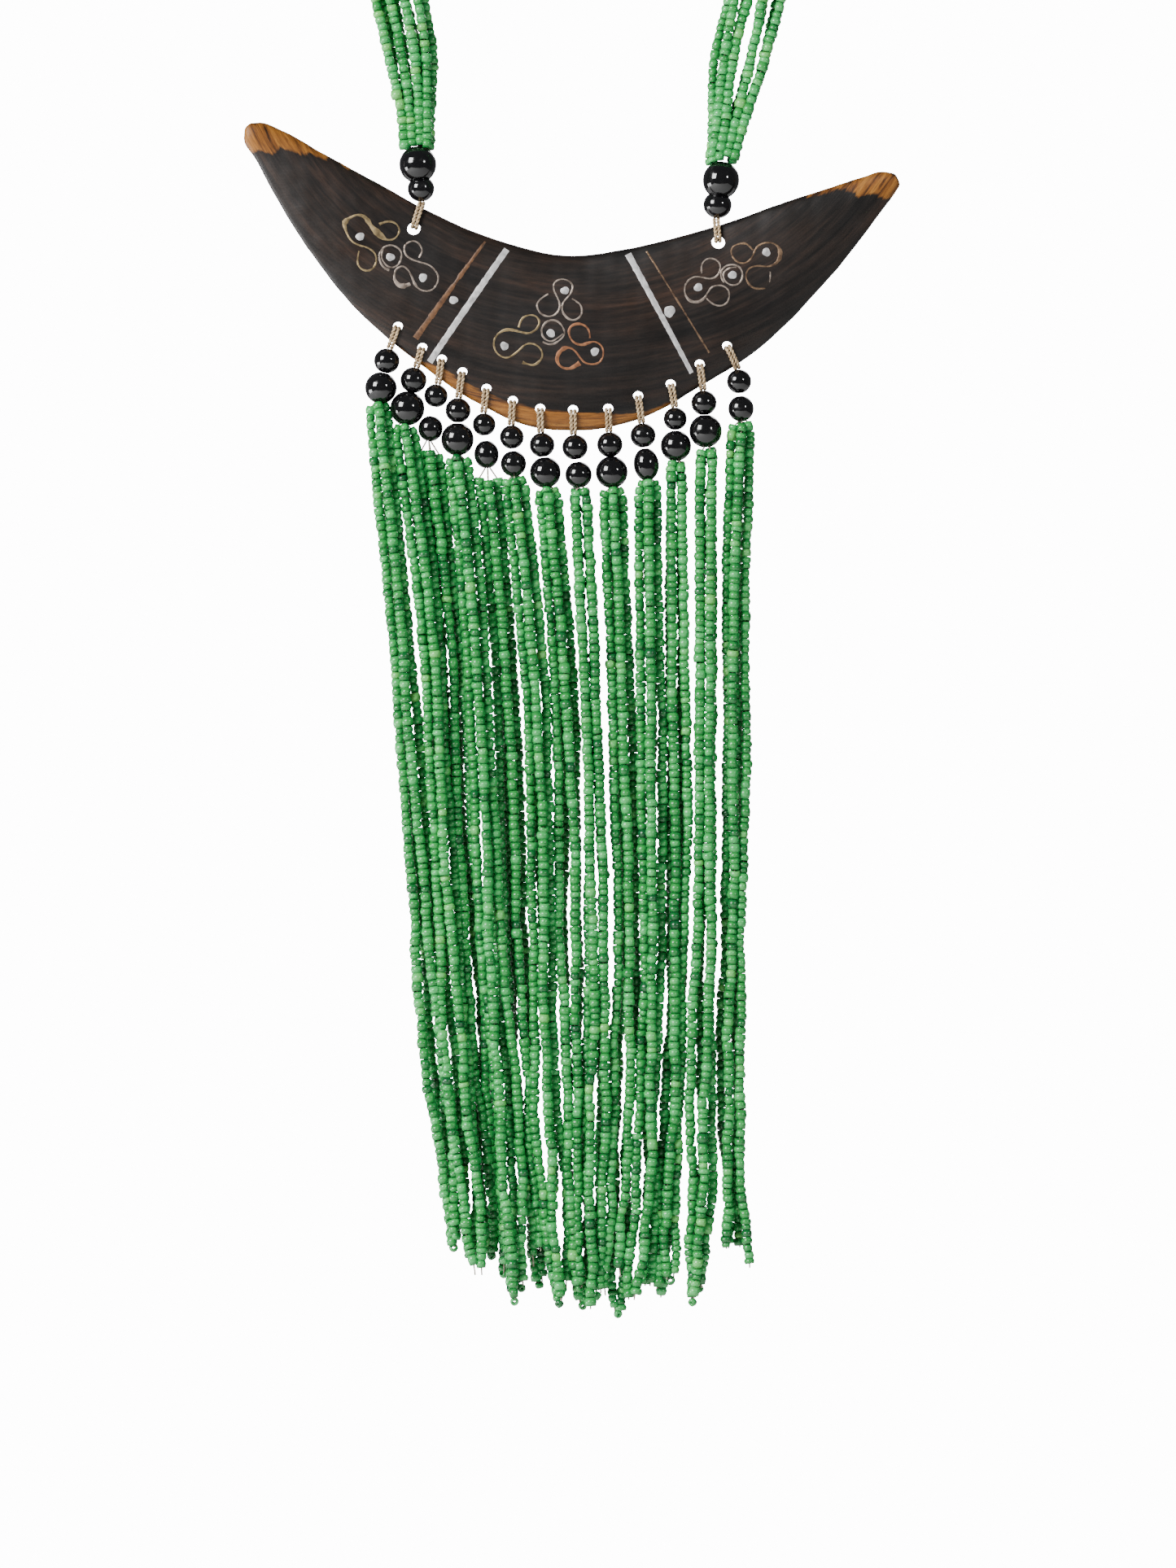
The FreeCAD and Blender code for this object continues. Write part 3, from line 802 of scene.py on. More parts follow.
# %% Black glass finish
black_glass, tree, shader = new_finish("black_bead_glass", 0.06, ior=1.56)
dust = noise(tree, place_on(tree), 420.0, 5.0, 0.65)
tree.links.new(
    ramp(tree, dust, [
        (0.0, (0.0015, 0.0015, 0.0019)),
        (0.60, (0.0026, 0.0024, 0.0028)),
        (0.85, (0.022, 0.021, 0.022)),
    ]),
    shader.inputs["Base Color"],
)
dusty_roughness = node(tree, "ShaderNodeMapRange", {
    "Value": dust, "From Min": 0.45, "From Max": 0.8, "To Min": 0.035, "To Max": 0.3
})
tree.links.new(dusty_roughness.outputs["Result"], shader.inputs["Roughness"])
pits = noise(tree, place_on(tree), 700.0, 1.0)
bump(tree, shader, pits, 0.10, 0.00012)
print("material:", black_glass.name)

# %% [markdown]
# ## Placing the black beads
# Each copy gets its own mesh, stretched to the real bead's diameter and height and turned so that its bore
# lies on the thread. The sizes and places of the fringe beads are read from the imported beads, and those of
# the strap beads are listed.

# %% Place the twenty-six fringe beads and the four strap beads
BEAD_FULLNESS = 1.035


def black_bead(name, middle, axis, diameter, height, turn):
    """A copy of the pattern at this place and size."""
    mesh = black_pattern.data.copy()
    mesh.name = name
    wide = diameter / 2 * BEAD_FULLNESS
    size = Matrix.Diagonal((wide, wide, height / 2 * BEAD_FULLNESS / black_pattern_height, 1.0))
    upright = Vector(axis).to_track_quat("Z", "Y").to_matrix().to_4x4()
    mesh.transform(Matrix.Translation(middle) @ upright @ Matrix.Rotation(turn, 4, "Z") @ size)
    mesh.materials.clear()
    mesh.materials.append(black_glass)
    piece = bpy.data.objects.new(name, mesh)
    bpy.context.scene.collection.objects.link(piece)
    return piece


rng = np.random.default_rng(31)
for number in numbers:
    upper_end, lower_end, axis = bead_ends("small_bead_" + number, "large_bead_" + number)
    for size_word, end, inward in (("small", upper_end, axis), ("large", lower_end, -axis)):
        cad_name = f"{size_word}_bead_{number}"
        low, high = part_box(cad_name)
        middle = (low + high) / 2
        height = 2 * (middle - end).dot(-inward)
        piece = black_bead(f"black_{cad_name}", middle, axis, high.y - low.y, height, rng.uniform(0, 6.28))
        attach(piece, "tassel_" + number)
        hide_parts(cad_name)

STRAP_BEAD_STRETCH = {"small": 0.0002, "large": 0.0018}
STRAP_BEADS = [
    ("left", (-45.7, -176.0, 7.9, 7.2), (-46.8, -167.7, 11.0, 8.8)),
    ("right", (45.4, -181.0, 8.4, 7.4), (46.6, -172.5, 10.8, 9.0)),
]
for side, small, large in STRAP_BEADS:
    small_place = Vector((small[0], 0, small[1])) / 1000
    large_place = Vector((large[0], 0, large[1])) / 1000
    axis = large_place - small_place
    for word, place, size in (("small", small_place, small), ("large", large_place, large)):
        taller = STRAP_BEAD_STRETCH[word]
        piece = black_bead(
            f"strap_{word}_bead_{side}",
            place - axis.normalized() * (taller / 2 if word == "large" else 0.0),
            axis,
            size[2] / 1000,
            size[3] / 1000 + taller,
            rng.uniform(0, 6.28),
        )
        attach(piece, "neck_strap")
        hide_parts("strap_beads")
bpy.data.objects.remove(black_pattern)
print("black beads placed:", 2 * len(numbers) + 2 * len(STRAP_BEADS))

# %% [markdown]
# ## The crescent's wood
# The crescent is carved from one board: pillow-shaped across, and drawn out to two horns. A grid is rolled up
# and laid on the carved cross-sections, its seam is merged and its two ends are closed, and then the holes
# are drilled with a Boolean modifier.

# %% Cross-sections of the crescent
CRESCENT_RIMS = [
    ((-97.2, -155.9), (-100.0, -158.3)), ((-94.5, -155.8), (-100.0, -161.3)), ((-88.3, -158.1), (-96.8, -166.3)),
    ((-76.3, -164.8), (-90.5, -178.3)), ((-61.3, -173.0), (-80.5, -194.3)), ((-48.3, -180.3), (-67.5, -211.0)),
    ((-34.0, -187.3), (-49.8, -227.0)), ((-18.3, -193.0), (-28.5, -241.8)), ((-7.0, -195.8), (-12.0, -249.0)),
    ((3.5, -196.5), (4.5, -250.3)), ((17.8, -194.5), (22.5, -246.4)), ((32.8, -191.0), (40.5, -236.4)),
    ((50.8, -185.6), (57.5, -225.8)), ((65.3, -180.5), (74.3, -209.3)), ((78.8, -176.0), (86.8, -195.0)),
    ((90.3, -172.3), (94.8, -184.3)), ((96.3, -170.8), (99.6, -178.0)), ((99.3, -171.3), (101.2, -175.4)),
]
WOOD_TIP_THICKNESS = 0.0042
WOOD_THICKNESS = 0.0084
WOOD_FULL_WIDTH = 0.054
ROUNDNESS = 2 / 2.2
ALONG_STEPS = 220
ROUND_STEPS = 72


def smooth_through(points, shares):
    """A smooth line that passes through every point, at these shares of its length."""
    points = np.asarray(points, float)
    knots = distances(points)
    slopes = np.gradient(points, knots, axis=0)
    where = np.asarray(shares) * knots[-1]
    span = np.clip(np.searchsorted(knots, where, side="right") - 1, 0, len(points) - 2)
    width = (knots[span + 1] - knots[span])[:, None]
    t = ((where - knots[span])[:, None]) / width
    start, end = points[span], points[span + 1]
    start_slope, end_slope = slopes[span] * width, slopes[span + 1] * width
    return (
        (2 * t**3 - 3 * t**2 + 1) * start
        + (t**3 - 2 * t**2 + t) * start_slope
        + (3 * t**2 - 2 * t**3) * end
        + (t**3 - t**2) * end_slope
    )


rims = np.array(CRESCENT_RIMS, float).reshape(-1, 4) / 1000
lines = smooth_through(rims, np.linspace(0, 1, ALONG_STEPS + 1))
upper_rim, lower_rim = lines[:, :2], lines[:, 2:]


def carved_place(column, row):
    """The place on the wood for this column along it and this row round it."""
    upper, lower = upper_rim[column], lower_rim[column]
    middle = (upper + lower) / 2
    across = (upper - lower) / 2
    half_width = float(np.linalg.norm(across))
    share = min(1.0, 2 * half_width / WOOD_FULL_WIDTH)
    thickness = WOOD_TIP_THICKNESS + (WOOD_THICKNESS - WOOD_TIP_THICKNESS) * share
    angle = 2 * math.pi * row / ROUND_STEPS
    along = math.copysign(abs(math.cos(angle)) ** ROUNDNESS, math.cos(angle))
    depth = math.copysign(abs(math.sin(angle)) ** ROUNDNESS, math.sin(angle)) * thickness / 2
    place = middle + across * along
    return (place[0], -depth, place[1])


print("crescent from", upper_rim[0].round(4).tolist(), "to", upper_rim[-1].round(4).tolist())

# %% Wrap the grid round the sections
deselect_all()
bpy.ops.mesh.primitive_grid_add(x_subdivisions=ALONG_STEPS, y_subdivisions=ROUND_STEPS, size=2.0)
wood = bpy.context.active_object
wood.name = "carved_crescent"
for vertex in wood.data.vertices:
    column = round((vertex.co.x + 1) / 2 * ALONG_STEPS)
    row = round((vertex.co.y + 1) / 2 * ROUND_STEPS)
    vertex.co = carved_place(column, row)
bpy.ops.object.mode_set(mode="EDIT")
bpy.ops.mesh.select_all(action="SELECT")
bpy.ops.mesh.remove_doubles(threshold=0.00001)
bpy.ops.mesh.select_mode(type="EDGE")
bpy.ops.mesh.region_to_loop()
bpy.ops.mesh.edge_face_add()
bpy.ops.mesh.select_all(action="SELECT")
bpy.ops.mesh.normals_make_consistent(inside=False)
bpy.ops.object.mode_set(mode="OBJECT")
print("wood faces:", len(wood.data.polygons))

# %% [markdown]
# ## Horn tips and hand-carved unevenness
# Each horn ends in a small flat that years of handling have rounded, so it is inset twice and pushed out. A
# knife never leaves a perfect surface either: the wood is moved in and out by about a tenth of a millimetre.

# %% Round the tips and roughen the form
bpy.ops.object.mode_set(mode="EDIT")
for inset, rise in ((0.00045, 0.00040), (0.00060, 0.00018)):
    bpy.ops.mesh.select_mode(type="FACE")
    bpy.ops.mesh.select_all(action="DESELECT")
    bpy.ops.object.mode_set(mode="OBJECT")
    for face in wood.data.polygons:
        face.select = len(face.vertices) > 20
    bpy.ops.object.mode_set(mode="EDIT")
    bpy.ops.mesh.inset(thickness=inset, depth=rise)
bpy.ops.object.mode_set(mode="OBJECT")
places = np.array([vertex.co for vertex in wood.data.vertices], float)
normals = np.array([vertex.normal for vertex in wood.data.vertices], float)
swell = np.zeros(len(places))
rng = np.random.default_rng(5)
for waves, size in ((45.0, 1.0), (95.0, 0.6), (190.0, 0.35)):
    for turn in range(4):
        heading = rng.normal(size=3)
        heading /= np.linalg.norm(heading)
        swell += size * np.sin(2 * math.pi * (waves * places @ heading + rng.uniform())) / 4
places += normals * (swell * 0.00016)[:, None]
for vertex, place in zip(wood.data.vertices, places):
    vertex.co = place
print("wood moved by up to", round(float(np.abs(swell).max() * 0.16), 2), "mm")

# %% Remember the carved face for the inlay
bpy.context.view_layer.update()
carved_face = BVHTree.FromObject(wood, bpy.context.evaluated_depsgraph_get())
FACE_REACH = 0.02


def face_depth(x, z):
    """The y of the wood's front face at this place."""
    hit = carved_face.ray_cast(Vector((x, -FACE_REACH, z)), Vector((0, 1, 0)))
    return hit[0].y if hit[0] is not None else 0.0


print("face depth in the middle:", round(face_depth(0.004, -0.22) * 1000, 2), "mm")

# %% [markdown]
# ## Drilling the holes
# Thirteen holes follow the lower rim and two lie under the strap. Their places are the joints' own places, so
# the twine and the holes agree. The drill bits are joined into one cutter and taken away from the wood.

# %% Drill
RIM_HOLE_RADIUS = 0.00155
STRAP_HOLE_RADIUS = 0.0021
STRAP_HOLES = [(-0.0479, -0.1883), (0.0456, -0.1925)]
joint_places = {joint["name"]: Vector(joint["pos_m"]) for joint in frame["joints"]}
drill_places = [(joint_places["tassel_sway_" + number], RIM_HOLE_RADIUS) for number in numbers]
drill_places += [(Vector((x, 0, z)), STRAP_HOLE_RADIUS) for x, z in STRAP_HOLES]

deselect_all()
bits = []
for place, radius in drill_places:
    bpy.ops.mesh.primitive_cylinder_add(
        vertices=32, radius=radius, depth=0.03, location=place, rotation=(math.radians(90), 0, 0)
    )
    bits.append(bpy.context.active_object)
deselect_all()
for bit in bits:
    bit.select_set(True)
bpy.context.view_layer.objects.active = bits[0]
bpy.ops.object.join()
cutter = bpy.context.active_object
make_active(wood)
drill = wood.modifiers.new("drill", "BOOLEAN")
drill.operation = "DIFFERENCE"
drill.solver = "EXACT"
drill.object = cutter
bpy.ops.object.modifier_apply(modifier="drill")
bpy.data.objects.remove(cutter)
make_active(wood)
bpy.ops.object.shade_smooth_by_angle(angle=math.radians(38))
print("holes drilled:", len(drill_places), "faces now:", len(wood.data.polygons))

# %% [markdown]
# ## Wood finish
# Blackwood has a nearly black heart and a pale band of sapwood under the bark. The grain follows the curve of
# the crescent, so the pattern is laid out by angle and distance about a point above it. Broad streaks, fine
# streaks and pores are three noises stretched along the grain, and the sapwood is masked in by height.

# %% Heartwood, sapwood, pores and scratches
GRAIN_CENTRE = (0.003, -0.110)
wood_finish, tree, shader = new_finish("blackwood", 0.42, ior=1.36)
separate = node(tree, "ShaderNodeSeparateXYZ", {"Vector": place_on(tree)})
x, y, z = separate.outputs["X"], separate.outputs["Y"], separate.outputs["Z"]
from_x = math_node(tree, "SUBTRACT", x, GRAIN_CENTRE[0])
from_z = math_node(tree, "SUBTRACT", z, GRAIN_CENTRE[1])
turned = math_node(tree, "ARCTAN2", from_x, math_node(tree, "MULTIPLY", from_z, -1.0))
away = math_node(
    tree,
    "SQRT",
    math_node(tree, "ADD", math_node(tree, "MULTIPLY", from_x, from_x), math_node(tree, "MULTIPLY", from_z, from_z)),
)


def grain_vector(along, deep, across):
    """Coordinates stretched along the grain."""
    made = node(
        tree,
        "ShaderNodeCombineXYZ",
        {
            "X": math_node(tree, "MULTIPLY", turned, along),
            "Y": math_node(tree, "MULTIPLY", y, deep),
            "Z": math_node(tree, "MULTIPLY", away, across),
        },
    )
    return made.outputs["Vector"]


broad = noise(tree, grain_vector(1.6, 60, 85), 1.0, 4.0, 0.55, 0.6)
fine = noise(tree, grain_vector(4.2, 260, 640), 1.0, 5.0, 0.62, 0.4)
pores = noise(tree, grain_vector(26.0, 900, 3000), 1.0, 2.0)
streaks = math_node(
    tree, "ADD", math_node(tree, "MULTIPLY", broad, 0.55), math_node(tree, "MULTIPLY", fine, 0.45)
)
heart = ramp(tree, streaks, [
    (0.36, (0.0022, 0.0016, 0.0015)),
    (0.46, (0.0050, 0.0033, 0.0027)),
    (0.54, (0.0105, 0.0060, 0.0042)),
    (0.66, (0.0270, 0.0130, 0.0075)),
])
sap = ramp(tree, fine, [
    (0.34, (0.016, 0.006, 0.002)),
    (0.43, (0.110, 0.038, 0.006)),
    (0.56, (0.205, 0.078, 0.011)),
    (0.75, (0.280, 0.125, 0.024)),
])


def parabola(centre, level, bend):
    """level + bend * (x - centre) squared, all in metres."""
    side = math_node(tree, "SUBTRACT", x, centre)
    return math_node(
        tree, "ADD", math_node(tree, "MULTIPLY", math_node(tree, "MULTIPLY", side, side), bend), level
    )


ragged = math_node(
    tree, "MULTIPLY", math_node(tree, "SUBTRACT", noise(tree, grain_vector(5.0, 100, 260), 1.0, 4.0, 0.6), 0.5), 0.0085
)
below = math_node(tree, "SUBTRACT", parabola(0.007, -0.2449, 5.5), z)
left = math_node(tree, "SUBTRACT", z, parabola(-0.092, -0.1650, -7.0))
right = math_node(tree, "SUBTRACT", z, parabola(0.083, -0.1780, -5.0))
left = math_node(tree, "MINIMUM", left, math_node(tree, "SUBTRACT", -0.058, x))
right = math_node(tree, "MINIMUM", right, math_node(tree, "SUBTRACT", x, 0.064))
edge = math_node(tree, "ADD", math_node(tree, "MAXIMUM", below, math_node(tree, "MAXIMUM", left, right)), ragged)
mask = node(
    tree, "ShaderNodeMapRange", {"Value": edge, "From Min": -0.00025, "From Max": 0.0006, "To Min": 0.0, "To Max": 1.0}
).outputs["Result"]
both = mix_colours(tree, mask, heart, sap)
dark_lines = node(
    tree, "ShaderNodeMapRange", {"Value": pores, "From Min": 0.30, "From Max": 0.50, "To Min": 0.55, "To Max": 1.0}
).outputs["Result"]
shaded = mix_colours(tree, 1.0, both, dark_lines, "MULTIPLY")
worn = noise(tree, place_on(tree), 38.0, 4.0, 0.6)
scratch = noise(tree, place_on(tree, (260, 260, 2400), (0, math.radians(24), 0)), 1.0, 3.0, 0.7)
tree.links.new(
    mix_colours(
        tree,
        node(tree, "ShaderNodeMapRange", {"Value": scratch, "From Min": 0.70, "From Max": 0.80, "To Max": 0.30})
        .outputs["Result"],
        shaded,
        (0.060, 0.048, 0.040),
    ),
    shader.inputs["Base Color"],
)
gloss = math_node(
    tree, "ADD", math_node(tree, "MULTIPLY", worn, 0.30), math_node(tree, "MULTIPLY", fine, 0.16)
)
tree.links.new(math_node(tree, "ADD", gloss, 0.20), shader.inputs["Roughness"])
relief = math_node(
    tree, "ADD", math_node(tree, "MULTIPLY", pores, 0.5), math_node(tree, "MULTIPLY", scratch, 0.5)
)
bump(tree, shader, relief, 0.30, 0.00022)
wood.data.materials.clear()
wood.data.materials.append(wood_finish)
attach(wood, "crescent")
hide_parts("crescent")
print("wood finish:", len(tree.nodes), "nodes")

# %% [markdown]
# ## Metal for the inlay
# The inlay is soft metal hammered into grooves and sanded flush, so it is dull, scratched and a little
# tarnished. One recipe with six colours covers silver, nickel, brass, bronze, copper and old
# copper.

# %% Six metals
def inlay_metal(name, bright, dark, metallic=0.75):
    """A dull hammered metal between two colours."""
    material, tree, shader = new_finish(name, 0.42, metallic)
    patches = noise(tree, place_on(tree), 520.0, 4.0, 0.6)
    tree.links.new(ramp(tree, patches, [(0.34, dark), (0.62, bright)]), shader.inputs["Base Color"])
    tree.links.new(
        node(tree, "ShaderNodeMapRange", {"Value": patches, "To Min": 0.34, "To Max": 0.60}).outputs["Result"],
        shader.inputs["Roughness"],
    )
    marks = noise(tree, place_on(tree, (1, 1, 0.35), (0, 0.6, 0)), 1700.0, 2.0)
    bump(tree, shader, marks, 0.35, 0.00012)
    return material


metals = {
    "silver": inlay_metal("silver_inlay_metal", (0.50, 0.49, 0.485), (0.27, 0.265, 0.265), 0.4),
    "nickel": inlay_metal("nickel_wire_metal", (0.30, 0.245, 0.205), (0.12, 0.092, 0.075)),
    "brass": inlay_metal("brass_wire_metal", (0.27, 0.20, 0.10), (0.11, 0.078, 0.038)),
    "bronze": inlay_metal("bronze_wire_metal", (0.19, 0.12, 0.07), (0.075, 0.044, 0.028)),
    "copper": inlay_metal("copper_inlay_metal", (0.27, 0.112, 0.048), (0.12, 0.047, 0.022), 0.5),
    "old_copper": inlay_metal("old_copper_metal", (0.125, 0.056, 0.021), (0.045, 0.020, 0.009), 0.25),
}
print("metals:", ", ".join(metals))

# %% [markdown]
# ## Wires and strips let into the wood
# A scroll is one piece of flat wire bent by hand, so it follows one smooth curve through a few points, and its
# width changes where the hammer spread it. The same flat bar along a straight line makes the strips.

# %% Flat bars on the carved face
BAR_PROUD = 0.00007
BAR_DEEP = 0.0004
BAR_STEP = 0.00022
BAR_SECTION = ((-1.0, -BAR_DEEP), (-1.0, 0.3), (-0.78, 1.0), (0.78, 1.0), (1.0, 0.3), (1.0, -BAR_DEEP))


def flat_bar(gathered, line, widths, rng, slot, waver=0.10):
    """Add a flat bar that follows the line on the wood's face."""
    length = distances(line)[-1]
    count = max(int(length / BAR_STEP), 8)
    where = np.linspace(0, length, count)
    share = distances(line) / length
    path = at_distance(line, where)
    width = np.interp(where / length, share, widths)
    knocks = rng.normal(0.0, 1.0, count + 4)
    knocks = np.convolve(knocks, np.ones(5) / 5, mode="valid")[:count] * 2
    width = width * (1 + waver * knocks)
    tangent = directions(path)
    side = np.stack([-tangent[:, 2], np.zeros(count), tangent[:, 0]], axis=1)
    corners = []
    for place, across, half in zip(path, side, width / 2):
        for shift, rise in BAR_SECTION:
            spot = place + across * (shift * half)
            depth = face_depth(spot[0], spot[2])
            lift = rise * BAR_PROUD if rise > 0 else rise
            corners.append((spot[0], depth - lift, spot[2]))
    faces = []
    around = 6
    for row in range(count - 1):
        low = row * around
        for step in range(around):
            after = (step + 1) % around
            faces.append((low + step, low + after, low + around + after, low + around + step))
    last = (count - 1) * around
    for start in (0, last):
        ends = [start + step for step in range(around)]
        faces.append((ends[0], ends[1], ends[2], ends[3]) if start else (ends[3], ends[2], ends[1], ends[0]))
        faces.append((ends[0], ends[3], ends[4], ends[5]) if start else (ends[5], ends[4], ends[3], ends[0]))
    gathered.add(np.array(corners), np.array(faces), 0.5, slot)


def finish_inlay(piece, replaced):
    """Make the faces of an inlay piece point outwards, and let it ride on the crescent."""
    make_active(piece)
    bpy.ops.object.mode_set(mode="EDIT")
    bpy.ops.mesh.select_all(action="SELECT")
    bpy.ops.mesh.normals_make_consistent(inside=False)
    bpy.ops.object.mode_set(mode="OBJECT")
    bpy.ops.object.shade_smooth_by_angle(angle=math.radians(40))
    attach(piece, "crescent")
    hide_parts(replaced)


print("flat bars stand", BAR_PROUD * 1000, "mm proud")

